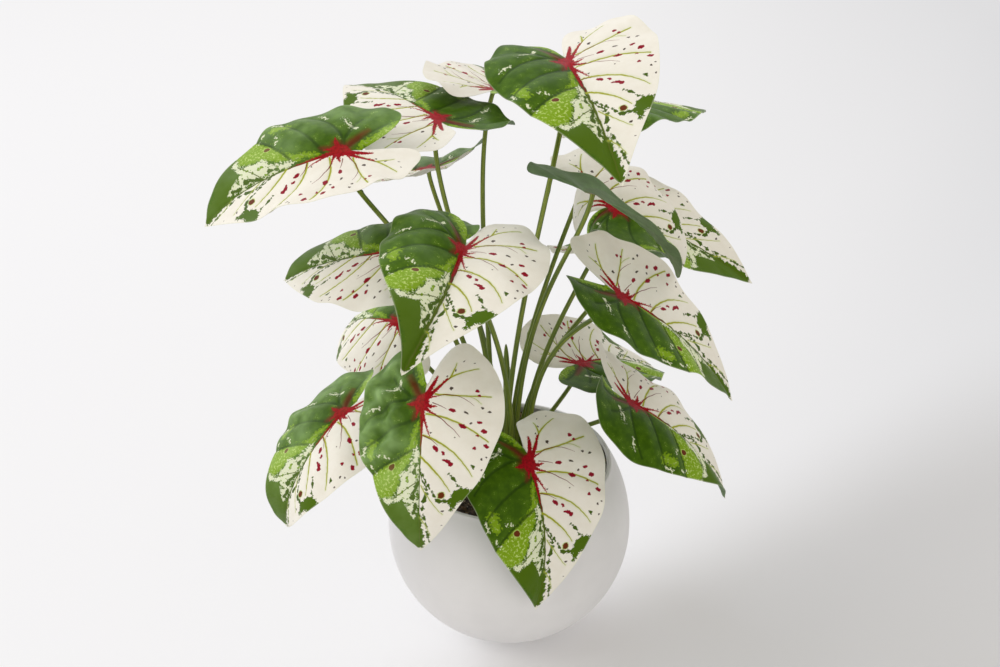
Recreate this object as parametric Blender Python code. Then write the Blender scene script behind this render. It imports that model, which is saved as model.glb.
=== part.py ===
"""A potted caladium: heart-shaped two-tone leaves on slender stalks, in a white ball-shaped pot.

Metres, +Z up. The origin is the centre of the pot's flat foot. Each stalk stands in its own socket
in the soil and ends just under its leaf, where the leaf's main veins meet.
"""

import math
from typing import NamedTuple

import bmesh
import bpy
import numpy as np
from mathutils import Matrix, Vector

# Pot: the lower part of a ball, drawn in a little less towards the mouth than a true ball would be.
POT_RADIUS = 0.100
POT_WIDEST = 0.089
POT_TOP = 0.1525
MOUTH_RADIUS = 0.082
FOOT_RADIUS = 0.0435
POT_WALL = 0.0036
POT_FLOOR = 0.006
POT_SEGMENTS = 36

# Soil: fills the pot to a little below its rim.
SOIL_TOP = 0.145
SOIL_GAP = 0.0004
SOCKET_DEPTH = 0.016
SOCKET_GAP = 0.00035

# Stalks: round, thinner towards the leaf.
STALK_BASE_RADIUS = 0.0028
STALK_TOP_RADIUS = 0.0022
STALK_POINTS = 9
STALK_COLLAR = 0.003
LEAF_SEAT_GAP = 0.0005

# Leaf blade: sizes from the joint with the stalk to the tip, and the share of that at the sides.
LEAF_LENGTH = 0.124
LEAF_THICKNESS = 0.0008
LEAF_SIDE_SHARE = 0.44
LOBE_SHARE = 0.36
LEAF_SPOKES = 22
LEAF_RINGS = (0.08, 0.38, 0.72, 1.0)
FLAT_CENTRE_SHARE = 0.05

# Young leaf, still rolled into a spear.
SHOOT_BASE = (-0.003, 0.002)
SHOOT_TOP = 0.259
SHOOT_RADIUS = 0.0036


class Leaf(NamedTuple):
    """One leaf and its stalk. Lengths are in millimetres and angles in degrees.

    joint: where the stalk meets the blade. root: where the stalk stands in the soil (x, y).
    heading: the compass direction of the tip, from +X towards +Y. dip: how far the tip points down.
    roll: how far the green side is raised. droop: how far the blade arches from joint to tip.
    tuck: how far the two lobes behind the joint arch down.
    lift: the slope of the green and of the white side next to the midrib. curl: how far each of
    the two sides arches down. sweep: the tip's shift towards the green side, as a share of length.
    rise: the share of its height over which the stalk stays steep. neck: length of its bent end.
    """

    name: str
    joint: tuple
    root: tuple
    heading: float
    dip: float
    roll: float
    size: float
    droop: float
    tuck: float
    lift: tuple
    curl: tuple
    sweep: float
    rise: float
    neck: float


LEAVES = (
    Leaf(
        "crown_right", (37.4, -45, 502.5), (-3, -6),
        -74.5, 5.6, -4.7, 1, 24.6, 26.4, (22.3, 20.1), (43.9, 6), 0.038, 0.4, 50,
    ),
    Leaf(
        "upper_left", (-53.5, 25, 435.1), (-10, -1),
        125.8, -8.8, -4.1, 1.02, 26.1, -31, (1.1, -5.4), (10.2, 18.9), -0.013, 0.5, 60,
    ),
    Leaf(
        "high_far_left", (-114.2, -50, 440.7), (-19, 3),
        199.5, 3.2, 23.6, 1, 70.2, -3, (8.8, 6.8), (46.6, -28.4), 0.128, 0.6, 50,
    ),
    Leaf(
        "crown_back", (-11.9, 90, 433.9), (-13, 6),
        77.3, 9.1, -15.9, 1, 17.7, 4.2, (44.2, 2.5), (24.5, 9.6), 0.144, 0.4, 60,
    ),
    Leaf(
        "high_back_right", (80.2, 132, 408.9), (1, 10),
        41.5, 13.4, 6.1, 1.07, 10.5, 93.5, (2.7, 3.4), (18.1, 57.9), -0.035, 0.5, 50,
    ),
    Leaf(
        "high_right", (56.4, -50, 411.6), (5, 0),
        -25.5, 14.4, -16.6, 0.86, 87.8, 16.5, (46.2, 12.8), (-15.2, 45.8), -0.204, 0.6, 60,
    ),
    Leaf(
        "outer_right", (80.2, 40, 356.6), (11, 5),
        -13.4, 13.7, 10.2, 0.97, 22.5, 134.4, (-29.6, 27.9), (-46.2, 15.8), -0.019, 0.5, 50,
    ),
    Leaf(
        "middle_right", (77.5, -78, 345.8), (14, -4),
        -2.3, 28.1, -6, 0.99, 36.9, -9.1, (9.1, 7.6), (16.2, -5.2), 0.004, 0.7, 30,
    ),
    Leaf(
        "low_back_right", (59.4, 60, 206.7), (18, 8),
        45.8, 11.2, -6.7, 1, 35.1, -0.3, (6.1, 10.6), (-1.2, -9.2), 0.074, 0.6, 30,
    ),
    Leaf(
        "low_right", (93.1, -40, 232.4), (20, -9),
        0.9, 29, -1.4, 1, 42.3, -38.9, (13.1, 20.3), (54.7, 43.2), -0.005, 0.5, 20,
    ),
    Leaf(
        "front_centre", (15.2, -80, 206.2), (10, -17),
        -62.9, 45.3, 5.8, 1, 58.6, 79, (3.1, 8.9), (5.3, 1.3), 0.047, 0.5, 20,
    ),
    Leaf(
        "front_left", (-60.4, -108, 278), (-14, -16),
        -96.1, 35.7, -11.3, 0.99, 80.1, 17.2, (-5.9, -0.8), (22.9, 21.1), 0.134, 0.6, 40,
    ),
    Leaf(
        "low_left", (-124.6, -50, 229.7), (-19, -12),
        -133.4, 16.6, -0.7, 1, 98.9, 6.6, (1.6, 23.8), (40.4, 41), 0.243, 0.5, 40,
    ),
    Leaf(
        "low_back_left", (-90.6, 50, 249.8), (-20, 12),
        143.3, 2.6, 15.7, 1, 73.7, 28.6, (5.3, -15.6), (71.2, 34.5), 0.098, 0.5, 40,
    ),
    Leaf(
        "centre", (-30.7, -120, 402.2), (3, -13),
        -98.7, 1.3, 37, 1, 23.4, 27, (17.7, 54.1), (87.1, 41.1), 0.009, 0.5, 40,
    ),
    Leaf(
        "middle_left", (-71.9, -95, 389), (-22, -4),
        163.5, 10.8, 15.4, 0.98, 40.6, 15.8, (22.5, 5), (79.9, 8.5), 0.165, 0.5, 40,
    ),
    Leaf(
        "high_back_left", (-64.8, 100, 363.6), (-6, 12),
        166.6, 13.2, -16.4, 0.98, 4.5, -25.2, (13, -5.6), (13.6, -10.4), 0.04, 0.5, 30,
    ),
    Leaf(
        "back_right", (89, 90, 295.4), (8, 13),
        118.8, 16.8, -9.2, 0.9, 14, 14, (7, 6), (10, 10), 0.03, 0.7, 40,
    ),
)


def clear_scene():
    """Removes everything that the scene opened with."""
    for obj in list(bpy.data.objects):
        bpy.data.objects.remove(obj, do_unlink=True)


def principled(name, colour, roughness):
    """A plain non-metal material."""
    material = bpy.data.materials.new(name)
    material.use_nodes = True
    shader = material.node_tree.nodes["Principled BSDF"]
    shader.inputs["Base Color"].default_value = (*colour, 1.0)
    shader.inputs["Roughness"].default_value = roughness
    shader.inputs["Metallic"].default_value = 0.0
    material.diffuse_color = (*colour, 1.0)
    return material


def add_object(name, data, materials, parent):
    """Links a new object with its materials under the plant's parent."""
    obj = bpy.data.objects.new(name, data)
    for material in materials:
        data.materials.append(material)
    bpy.context.collection.objects.link(obj)
    obj.parent = parent
    return obj


def turned(name, profile, material, parent):
    """A closed solid turned round the Z axis from (radius, height) points that start and end on it."""
    shape = bmesh.new()
    points = [shape.verts.new((radius, 0.0, height)) for radius, height in profile]
    edges = [shape.edges.new(pair) for pair in zip(points, points[1:])]
    bmesh.ops.spin(
        shape,
        geom=points + edges,
        cent=(0, 0, 0),
        axis=(0, 0, 1),
        angle=2 * math.pi,
        steps=POT_SEGMENTS,
        use_merge=True,
    )
    bmesh.ops.remove_doubles(shape, verts=shape.verts, dist=1e-6)
    bmesh.ops.recalc_face_normals(shape, faces=shape.faces)
    mesh = bpy.data.meshes.new(name)
    shape.to_mesh(mesh)
    shape.free()
    mesh.shade_smooth()
    mesh.set_sharp_from_angle(angle=math.radians(35))
    return add_object(name, mesh, [material], parent)


def pot_radius_at(height, inset=0.0):
    """The pot's outer radius at a height, less an inset measured squarely through the wall."""
    above = height - POT_WIDEST
    reach = POT_RADIUS
    if above > 0:
        mouth = POT_TOP - POT_WIDEST
        reach = mouth / math.sqrt(1 - (MOUTH_RADIUS / POT_RADIUS) ** 2)
    share = max(0.0, 1 - (above / (reach - inset)) ** 2)
    return (POT_RADIUS - inset) * math.sqrt(share)


def spaced(start, end, count):
    """Evenly spaced heights, eased so that they lie closer at the start."""
    return [start + (end - start) * (1 - math.cos(math.pi / 2 * i / (count - 1))) for i in range(count)]


def pot_profile():
    """Half section of the pot: foot, outside, rounded rim, inside, floor."""
    outside = [(pot_radius_at(z), z) for z in spaced(0.0025, POT_WIDEST, 9)]
    outside += [(pot_radius_at(z), z) for z in np.linspace(POT_WIDEST, POT_TOP - POT_WALL / 2, 6)[1:]]
    rim_radius = outside[-1][0] - POT_WALL / 2
    rim = [
        (rim_radius + POT_WALL / 2 * math.cos(turn), outside[-1][1] + POT_WALL / 2 * math.sin(turn))
        for turn in np.radians((45, 90, 135))
    ]
    inside = [(pot_radius_at(z, POT_WALL), z) for z in np.linspace(POT_TOP - POT_WALL / 2, POT_WIDEST, 5)]
    inside += [(pot_radius_at(z, POT_WALL), z) for z in reversed(spaced(POT_FLOOR, POT_WIDEST, 6)[:-1])]
    return [(0.0, 0.0), (FOOT_RADIUS, 0.0)] + outside + rim + inside + [(0.0, POT_FLOOR)]


def soil_profile():
    """Half section of the soil: it follows the inside of the pot and has a flat top."""
    inset = POT_WALL + SOIL_GAP
    bottom = POT_FLOOR + SOIL_GAP
    side = [(pot_radius_at(z, inset), z) for z in spaced(bottom, POT_WIDEST, 6)]
    side += [(pot_radius_at(z, inset), z) for z in np.linspace(POT_WIDEST, SOIL_TOP, 5)[1:]]
    return [(0.0, bottom)] + side + [(0.0, SOIL_TOP)]


def cut_sockets(soil, parent):
    """Cuts a round socket into the soil for every stalk and for the young shoot."""
    shape = bmesh.new()
    roots = [(x / 1000, y / 1000, STALK_BASE_RADIUS) for x, y in (leaf.root for leaf in LEAVES)]
    roots.append((*SHOOT_BASE, SHOOT_RADIUS * 0.7))
    for x, y, radius in roots:
        bmesh.ops.create_cone(
            shape,
            cap_ends=True,
            segments=8,
            radius1=radius + SOCKET_GAP,
            radius2=radius + SOCKET_GAP,
            depth=2 * SOCKET_DEPTH,
            matrix=Matrix.Translation((x, y, SOIL_TOP)),
        )
    mesh = bpy.data.meshes.new("socket_cutters")
    shape.to_mesh(mesh)
    shape.free()
    cutter = add_object("socket_cutters", mesh, [], parent)
    cutter.hide_render = True
    cutter.display_type = "WIRE"
    cut = soil.modifiers.new("sockets", "BOOLEAN")
    cut.operation = "DIFFERENCE"
    cut.object = cutter


def blade_edge(angle):
    """Distance from joint to edge, as a share of the length, at degrees from the tip.

    A round heart that runs out into a point at the tip and is cleft behind the joint.
    """
    away = np.abs(angle)
    heart = LEAF_SIDE_SHARE + (1 - LEAF_SIDE_SHARE) * np.exp(-((away / 25) ** 0.9))
    return heart * (1 - 0.75 * np.exp(-(((180 - away) / 14) ** 2)))


def arc(turn, distance):
    """How far along and how far up an arc leads that turns by an angle over each unit of distance."""
    turn = np.where(np.abs(turn) < 1e-6, 1e-6, turn)
    return np.sin(turn * distance) / turn, (1 - np.cos(turn * distance)) / turn


def blade_surface(leaf, across, along):
    """The upper face of a blade: x to the green side, y to the tip, z up from the blade.

    The midrib is an arc that turns down by the droop. Each side leaves it at its lift and arches
    down by its curl, over half the leaf's width, and is flat next to the joint.
    """
    length = LEAF_LENGTH * leaf.size
    green = across > 0
    lift = np.radians(np.where(green, *leaf.lift))
    curl = np.radians(np.where(green, *leaf.curl)) / LEAF_SIDE_SHARE
    curl = np.where(np.abs(curl) < 1e-6, 1e-6, curl)
    width = np.abs(across)
    out = (np.sin(curl * width - lift) + np.sin(lift)) / curl
    up = (np.cos(curl * width - lift) - np.cos(lift)) / curl
    nearness = across**2 + along**2
    up *= nearness / (nearness + FLAT_CENTRE_SHARE**2)
    bend = np.radians(np.where(along > 0, leaf.droop, leaf.tuck / LOBE_SHARE))
    forward, fall = arc(bend, along)
    sweep = leaf.sweep * np.maximum(along, 0) ** 2
    x = np.sign(across) * out + sweep
    y = forward + up * np.sin(bend * along)
    z = -fall + up * np.cos(bend * along)
    return np.stack([x, y, z], axis=-1) * length


def blade_frame(leaf):
    """World matrix of a blade: x to its green side, y to its tip, z out of its upper face."""
    heading, dip, roll = (math.radians(a) for a in (leaf.heading, leaf.dip, leaf.roll))
    tip = Vector((math.cos(heading) * math.cos(dip), math.sin(heading) * math.cos(dip), -math.sin(dip)))
    face = Vector((math.cos(heading) * math.sin(dip), math.sin(heading) * math.sin(dip), math.cos(dip)))
    side = tip.cross(face)
    green = side * math.cos(roll) + face * math.sin(roll)
    face = face * math.cos(roll) - side * math.sin(roll)
    turn = Matrix((green, tip, face)).transposed().to_4x4()
    return Matrix.Translation(Vector(leaf.joint) / 1000) @ turn


def make_blade(leaf, materials, parent):
    """The blade: spokes and rings round the joint, thickened downwards into a closed sheet."""
    spokes = np.arange(LEAF_SPOKES) * 2 / LEAF_SPOKES - 1
    angles = 180 * np.sign(spokes) * np.abs(spokes) ** 1.4
    edge = blade_edge(angles)
    across = np.outer(LEAF_RINGS, edge * np.sin(np.radians(angles)))
    along = np.outer(LEAF_RINGS, edge * np.cos(np.radians(angles)))
    points = blade_surface(leaf, across, along).reshape(-1, 3)
    centre = len(points)
    points = np.vstack([points, (0.0, 0.0, 0.0)])
    faces = []
    for spoke in range(LEAF_SPOKES):
        following = (spoke + 1) % LEAF_SPOKES
        faces.append((centre, following, spoke))
        for ring in range(len(LEAF_RINGS) - 1):
            inner, outer = ring * LEAF_SPOKES, (ring + 1) * LEAF_SPOKES
            faces.append((inner + spoke, inner + following, outer + following, outer + spoke))
    mesh = bpy.data.meshes.new("leaf_" + leaf.name)
    mesh.from_pydata([tuple(p) for p in points], [], faces)
    blade = add_object("leaf_" + leaf.name, mesh, materials, parent)
    for polygon in mesh.polygons:
        polygon.material_index = 0 if polygon.center.x > 0 else 1
    mesh.shade_smooth()
    blade.matrix_world = blade_frame(leaf)
    sheet = blade.modifiers.new("sheet", "SOLIDIFY")
    sheet.thickness = LEAF_THICKNESS
    sheet.offset = -1
    return blade


def stalk_path(leaf):
    """Points of the stalk: straight up out of its socket, then a curve that meets the leaf squarely."""
    face = blade_frame(leaf).to_3x3() @ Vector((0, 0, 1))
    root = Vector((leaf.root[0] / 1000, leaf.root[1] / 1000, SOIL_TOP + STALK_COLLAR))
    top = Vector(leaf.joint) / 1000 - face * (LEAF_THICKNESS + LEAF_SEAT_GAP)
    end = top - face * STALK_COLLAR
    steep = root + Vector((0, 0, leaf.rise * (end.z - root.z)))
    bent = end - face * leaf.neck / 1000
    path = [Vector((root.x, root.y, SOIL_TOP - SOCKET_DEPTH + SOCKET_GAP))]
    for i in range(STALK_POINTS):
        t = i / (STALK_POINTS - 1)
        s = 1 - t
        path.append(root * s**3 + steep * 3 * s * s * t + bent * 3 * s * t * t + end * t**3)
    return path + [top]


def make_stalk(leaf, material, parent):
    """A tapered round stalk with closed ends."""
    path = stalk_path(leaf)
    curve = bpy.data.curves.new("stalk_" + leaf.name, "CURVE")
    curve.dimensions = "3D"
    curve.bevel_depth = STALK_BASE_RADIUS
    curve.bevel_resolution = 1
    curve.use_fill_caps = True
    spline = curve.splines.new("POLY")
    spline.points.add(len(path) - 1)
    thin = STALK_TOP_RADIUS / STALK_BASE_RADIUS
    for i, (point, place) in enumerate(zip(spline.points, path)):
        point.co = (*place, 1)
        point.radius = 1 + (thin - 1) * i / (len(path) - 1)
    spline.use_smooth = True
    return add_object("stalk_" + leaf.name, curve, [material], parent)


def make_shoot(material, parent):
    """The young leaf: a slim spear, widest half way up and pointed at the top."""
    bottom = SOIL_TOP - SOCKET_DEPTH + SOCKET_GAP
    height = SHOOT_TOP - bottom
    profile = [(0.0, 0.0), (0.7 * SHOOT_RADIUS, 0.0), (0.7 * SHOOT_RADIUS, 0.25 * height)]
    profile += [(SHOOT_RADIUS, 0.5 * height), (0.85 * SHOOT_RADIUS, 0.7 * height)]
    profile += [(0.4 * SHOOT_RADIUS, 0.9 * height), (0.0, height)]
    shape = bmesh.new()
    points = [shape.verts.new((radius, 0.0, up)) for radius, up in profile]
    edges = [shape.edges.new(pair) for pair in zip(points, points[1:])]
    bmesh.ops.spin(
        shape, geom=points + edges, axis=(0, 0, 1), angle=2 * math.pi, steps=8, use_merge=True
    )
    bmesh.ops.remove_doubles(shape, verts=shape.verts, dist=1e-6)
    bmesh.ops.recalc_face_normals(shape, faces=shape.faces)
    mesh = bpy.data.meshes.new("young_shoot")
    shape.to_mesh(mesh)
    shape.free()
    mesh.shade_smooth()
    shoot = add_object("young_shoot", mesh, [material], parent)
    shoot.location = (*SHOOT_BASE, bottom)
    return shoot


def main():
    """Builds the pot, its soil, and every leaf on its stalk."""
    clear_scene()
    plant = bpy.data.objects.new("plant", None)
    bpy.context.collection.objects.link(plant)
    pot_white = principled("pot_white", (0.80, 0.80, 0.79), 0.55)
    soil_brown = principled("soil_brown", (0.06, 0.04, 0.03), 0.95)
    stalk_green = principled("stalk_green", (0.10, 0.19, 0.02), 0.45)
    leaf_green = principled("leaf_green", (0.07, 0.18, 0.02), 0.42)
    leaf_white = principled("leaf_white", (0.82, 0.80, 0.74), 0.50)
    turned("pot", pot_profile(), pot_white, plant)
    soil = turned("potting_soil", soil_profile(), soil_brown, plant)
    cut_sockets(soil, plant)
    for leaf in LEAVES:
        make_stalk(leaf, stalk_green, plant)
        make_blade(leaf, [leaf_green, leaf_white], plant)
    make_shoot(stalk_green, plant)


main()
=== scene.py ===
"""The looks of a potted caladium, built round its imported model.

Heart-shaped leaves, green on one half and white on the other, stand on slender stalks in a white
ball-shaped pot. Metres, +Z up, with the origin at the centre of the pot's foot.
"""

import logging
import math
from collections.abc import Sequence
from dataclasses import dataclass, field
from enum import Enum

import bpy
import numpy as np
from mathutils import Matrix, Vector

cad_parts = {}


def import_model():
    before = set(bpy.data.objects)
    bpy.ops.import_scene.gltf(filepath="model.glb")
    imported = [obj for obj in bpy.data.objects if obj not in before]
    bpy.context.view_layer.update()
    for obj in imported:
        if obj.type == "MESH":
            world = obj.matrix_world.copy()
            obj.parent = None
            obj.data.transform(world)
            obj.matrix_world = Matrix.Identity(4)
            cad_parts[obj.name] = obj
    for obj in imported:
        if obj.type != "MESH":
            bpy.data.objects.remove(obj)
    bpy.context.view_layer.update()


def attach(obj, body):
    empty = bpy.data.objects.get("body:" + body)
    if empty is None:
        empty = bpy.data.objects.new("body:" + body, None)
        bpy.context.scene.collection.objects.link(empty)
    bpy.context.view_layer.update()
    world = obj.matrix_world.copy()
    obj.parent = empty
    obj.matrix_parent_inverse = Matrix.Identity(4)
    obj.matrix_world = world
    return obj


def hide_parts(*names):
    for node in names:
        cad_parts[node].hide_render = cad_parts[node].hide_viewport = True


LOG = logging.getLogger("potted_caladium")

Array = np.ndarray
Colour = tuple[float, float, float]
Point2 = tuple[float, float]
Point3 = tuple[float, float, float]
Socket = bpy.types.NodeSocket
Value = float | Socket

MM = 0.001


def paint(red: int, green: int, blue: int) -> Colour:
    """A display colour, 0 to 255, as the linear colour that a shader takes.

    Args:
        red: Red, 0 to 255.
        green: Green, 0 to 255.
        blue: Blue, 0 to 255.

    Returns:
        The linear colour.
    """
    share = np.array([red, green, blue]) / 255
    linear = np.where(share <= 0.04045, share / 12.92, ((share + 0.055) / 1.055) ** 2.4)
    return tuple(float(part) for part in linear)


def unit(vectors: Array) -> Array:
    """Vectors scaled to length one, along the last axis."""
    return vectors / np.maximum(np.linalg.norm(vectors, axis=-1, keepdims=True), 1e-12)


def smooth_step(low: float, high: float, values: Array) -> Array:
    """Eases from 0 at low to 1 at high: three t squared less two t cubed."""
    t = np.clip((values - low) / (high - low), 0, 1)
    return t * t * (3 - 2 * t)


def circle(steps: int) -> Array:
    """Turns in radians of evenly spaced places round a circle, from 0."""
    return np.linspace(0, 2 * np.pi, steps, endpoint=False)


def name_seed(name: str) -> int:
    """A whole number that belongs to a name, for what differs from leaf to leaf."""
    return sum(map(ord, name))


def add_mesh(name: str, points: Array, faces: Sequence[Array], sharp: float = 60) -> bpy.types.Object:
    """A new smooth-shaded mesh object at the origin.

    Args:
        name: The piece's name.
        points: Vertex places, one row each, in metres.
        faces: Blocks of faces, each an array with a row of vertex numbers for every face.
        sharp: Edges that turn by more than this many degrees are drawn sharp.

    Returns:
        The object, linked to the scene.
    """
    mesh = bpy.data.meshes.new(name)
    mesh.from_pydata(points.tolist(), [], [face for block in faces for face in block.tolist()])
    mesh.validate()
    mesh.shade_smooth()
    mesh.set_sharp_from_angle(angle=math.radians(sharp))
    piece = bpy.data.objects.new(name, mesh)
    bpy.context.scene.collection.objects.link(piece)
    return piece


def grid_faces(rows: int, columns: int, closed: bool = True) -> Array:
    """Four-cornered faces over a grid of rows and columns, numbered row by row.

    Args:
        rows: Number of rows.
        columns: Number of columns.
        closed: Whether the last column joins the first.

    Returns:
        One face a row. With rows running up and columns running anticlockwise, they face outwards.
    """
    row, column = np.meshgrid(np.arange(rows - 1), np.arange(columns - (not closed)), indexing="ij")
    following = (column + 1) % columns
    corners = [row * columns + column, row * columns + following]
    corners += [(row + 1) * columns + following, (row + 1) * columns + column]
    return np.stack(corners, axis=-1).reshape(-1, 4)


def fan_faces(centre: int, ring: Array) -> Array:
    """Triangles from a centre vertex to each pair of neighbours on a ring."""
    return np.stack([np.full(len(ring), centre), ring, np.roll(ring, -1)], axis=-1)


def closed_tube(rings: Array) -> tuple[Array, list[Array]]:
    """A tube through rings of points, with a vertex at the middle of each end that closes it.

    Args:
        rings: Points by ring, by place on the ring and by axis.

    Returns:
        The points, ring by ring with the two end vertices last, and the blocks of faces.
    """
    rows, columns = rings.shape[:2]
    count = rows * columns
    points = np.vstack([rings.reshape(-1, 3), rings[0].mean(axis=0), rings[-1].mean(axis=0)])
    first = np.arange(columns)
    ends = [fan_faces(count, first[::-1]), fan_faces(count + 1, first + count - columns)]
    return points, [grid_faces(rows, columns), *ends]


def keep_vectors(mesh: bpy.types.Mesh, name: str, parts: Sequence[Array]) -> None:
    """Keeps a vector for each vertex, given as its three parts, under a name."""
    layer = mesh.attributes.new(name, "FLOAT_VECTOR", "POINT")
    layer.data.foreach_set("vector", np.stack(parts, axis=-1).astype(np.float32).ravel())


def keep_stalk_place(mesh: bpy.types.Mesh, turn: Array, height: Array) -> None:
    """Keeps each vertex's place on a closed tube: cosine and sine of its turn, and its height.

    Args:
        mesh: A mesh that closed_tube() laid out.
        turn: The turn of each vertex of a ring.
        height: The height of each ring.
    """
    around = np.append(np.tile(turn, len(height)), [0.0, 0.0])
    up = np.append(np.repeat(height, len(turn)), [height[0], height[-1]])
    keep_vectors(mesh, "stalk_place", (np.cos(around), np.sin(around), up))


class Wiring:
    """Adds nodes to one node tree and joins their sockets."""

    def __init__(self, tree: bpy.types.NodeTree) -> None:
        """Works on a tree as it stands."""
        self.tree = tree

    def node(self, kind: str, **settings: object) -> bpy.types.Node:
        """A new node.

        Args:
            kind: The node's type.
            settings: Its settings by name.

        Returns:
            The node.
        """
        made = self.tree.nodes.new(kind)
        for name, value in settings.items():
            setattr(made, name, value)
        return made

    def feed(self, socket: Socket, value: object) -> None:
        """Joins a socket to another, or gives it a plain value.

        Args:
            socket: The socket to feed.
            value: A socket, a number, a vector, or a colour of three parts.
        """
        if isinstance(value, bpy.types.NodeSocket):
            self.tree.links.new(value, socket)
        elif socket.type == "RGBA":
            socket.default_value = (*value, 1.0)
        else:
            socket.default_value = value

    def made(self, kind: str, inputs: dict[str | int, object], **settings: object) -> bpy.types.Node:
        """A new node with its inputs fed.

        Args:
            kind: The node's type.
            inputs: What each input takes, by the input's name or number.
            settings: The node's settings by name.

        Returns:
            The node.
        """
        node = self.node(kind, **settings)
        for key, value in inputs.items():
            self.feed(node.inputs[key], value)
        return node

    def math(self, operation: str, *values: Value, clamp: bool = False) -> Socket:
        """The result of one Math node, which clamp holds between 0 and 1."""
        inputs = dict(enumerate(values))
        return self.made("ShaderNodeMath", inputs, operation=operation, use_clamp=clamp).outputs[0]

    def product(self, first: Value, *others: Value) -> Socket:
        """All the values multiplied together.

        Args:
            first: The first value.
            others: The other values.

        Returns:
            The product.
        """
        for other in others:
            first = self.math("MULTIPLY", first, other)
        return first

    def sway(self, noise: Socket, amount: float, base: Value = 0.0) -> Socket:
        """A value that noise from 0 to 1 moves up and down by half an amount."""
        return self.math("MULTIPLY_ADD", self.math("SUBTRACT", noise, 0.5), amount, base)

    def vector(self, operation: str, *values: object) -> Socket:
        """The result of one Vector Math node, a number for a dot product or a length."""
        made = self.made("ShaderNodeVectorMath", dict(enumerate(values)), operation=operation)
        return made.outputs["Value" if operation in ("DOT_PRODUCT", "LENGTH") else "Vector"]

    def parts(self, vector: Socket) -> list[Socket]:
        """The three numbers of a vector."""
        return list(self.made("ShaderNodeSeparateXYZ", {0: vector}).outputs)

    def flat(self, place: Socket) -> Socket:
        """A place with its third number left out."""
        return self.vector("MULTIPLY", place, (1, 1, 0))

    def noise(
        self, place: Socket, scale: float, detail: float = 2.0, rough: float = 0.5, tint: bool = False
    ) -> Socket:
        """Smooth noise from 0 to 1.

        Args:
            place: Where it is read.
            scale: How fine it is.
            detail: How many finer layers it has.
            rough: How strong the finer layers are.
            tint: Whether it is three noises, as a colour.

        Returns:
            The noise.
        """
        inputs = {"Vector": place, "Scale": scale, "Detail": detail, "Roughness": rough}
        made = self.made("ShaderNodeTexNoise", inputs, noise_dimensions="3D")
        return made.outputs["Color" if tint else "Fac"]

    def step(self, value: Value, low: float, high: float, most: float = 1.0) -> Socket:
        """Eases from 0, where the value is low, to its most, where the value is high."""
        inputs = {"Value": value, "From Min": low, "From Max": high, "To Max": most}
        return self.made("ShaderNodeMapRange", inputs, interpolation_type="SMOOTHSTEP").outputs["Result"]

    def span(self, value: Value, low: float, high: float, first: float, last: float) -> Socket:
        """Carries a value between low and high to one between first and last, held at both ends."""
        inputs = {"Value": value, "From Min": low, "From Max": high, "To Min": first, "To Max": last}
        return self.made("ShaderNodeMapRange", inputs).outputs["Result"]

    def over(self, share: Value, below: object, above: object, mode: str = "MIX") -> Socket:
        """One colour laid over another by a share, blended in a mode."""
        inputs = {0: share, 6: below, 7: above}
        return self.made("ShaderNodeMix", inputs, data_type="RGBA", blend_type=mode).outputs[2]

    def mixed(self, share: Socket, first: bpy.types.Node, last: bpy.types.Node) -> Socket:
        """Two shaders mixed by a share of the last."""
        inputs = {0: share, 1: first.outputs[0], 2: last.outputs[0]}
        return self.made("ShaderNodeMixShader", inputs).outputs[0]

    def attribute(self, name: str, output: str = "Vector") -> Socket:
        """What the mesh keeps under a name, as a vector, or as a number from the output Fac."""
        return self.node("ShaderNodeAttribute", attribute_name=name).outputs[output]

    def place(self) -> Socket:
        """The place in the object."""
        return self.node("ShaderNodeTexCoord").outputs["Object"]

    def cover(
        self, shader: bpy.types.Node, colour: Socket, rough: Socket, height: Socket, bumps: Point2
    ) -> None:
        """Gives a shader its changing inputs.

        Args:
            shader: The shader.
            colour: Its colour.
            rough: Its roughness.
            height: The height of its bumps, from 0 to 1.
            bumps: How strong the bumps are, and how high in metres.
        """
        self.feed(shader.inputs["Base Color"], colour)
        self.feed(shader.inputs["Roughness"], rough)
        inputs = {"Strength": bumps[0], "Distance": bumps[1], "Height": height}
        self.feed(shader.inputs["Normal"], self.made("ShaderNodeBump", inputs).outputs[0])


class SharedEffect:
    """A shader node group with named sockets, built once and placed in each material that uses it."""

    def __init__(self, name: str, takes: dict[str, str], gives: dict[str, str]) -> None:
        """Makes the group with only its sockets.

        Args:
            name: The group's name.
            takes: The kind of each input, by its name.
            gives: The kind of each output, by its name.
        """
        self.tree = bpy.data.node_groups.new(name, "ShaderNodeTree")
        for way, sockets in (("INPUT", takes), ("OUTPUT", gives)):
            for label, kind in sockets.items():
                self.tree.interface.new_socket(name=label, in_out=way, socket_type=f"NodeSocket{kind}")
        self.wiring = Wiring(self.tree)
        self.taken = self.wiring.node("NodeGroupInput").outputs

    def give(self, *values: Socket) -> None:
        """Feeds the group's outputs in their order."""
        self.wiring.made("NodeGroupOutput", dict(enumerate(values)))

    def placed(self, wiring: Wiring, inputs: dict[str, object]) -> list[Socket]:
        """Places the group in a material, fed by input names, and returns its outputs in order."""
        return list(wiring.made("ShaderNodeGroup", inputs, node_tree=self.tree).outputs)


# The outputs of an effect that makes up a whole surface.
SURFACE = {"Colour": "Color", "Rough": "Float", "Height": "Float"}


def new_material(name: str) -> tuple[bpy.types.Material, Wiring, bpy.types.Node]:
    """A material with one Principled shader.

    Args:
        name: The material's name.

    Returns:
        The material, its wiring and its shader.
    """
    material = bpy.data.materials.new(name)
    material.use_nodes = True
    return material, Wiring(material.node_tree), material.node_tree.nodes["Principled BSDF"]


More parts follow.
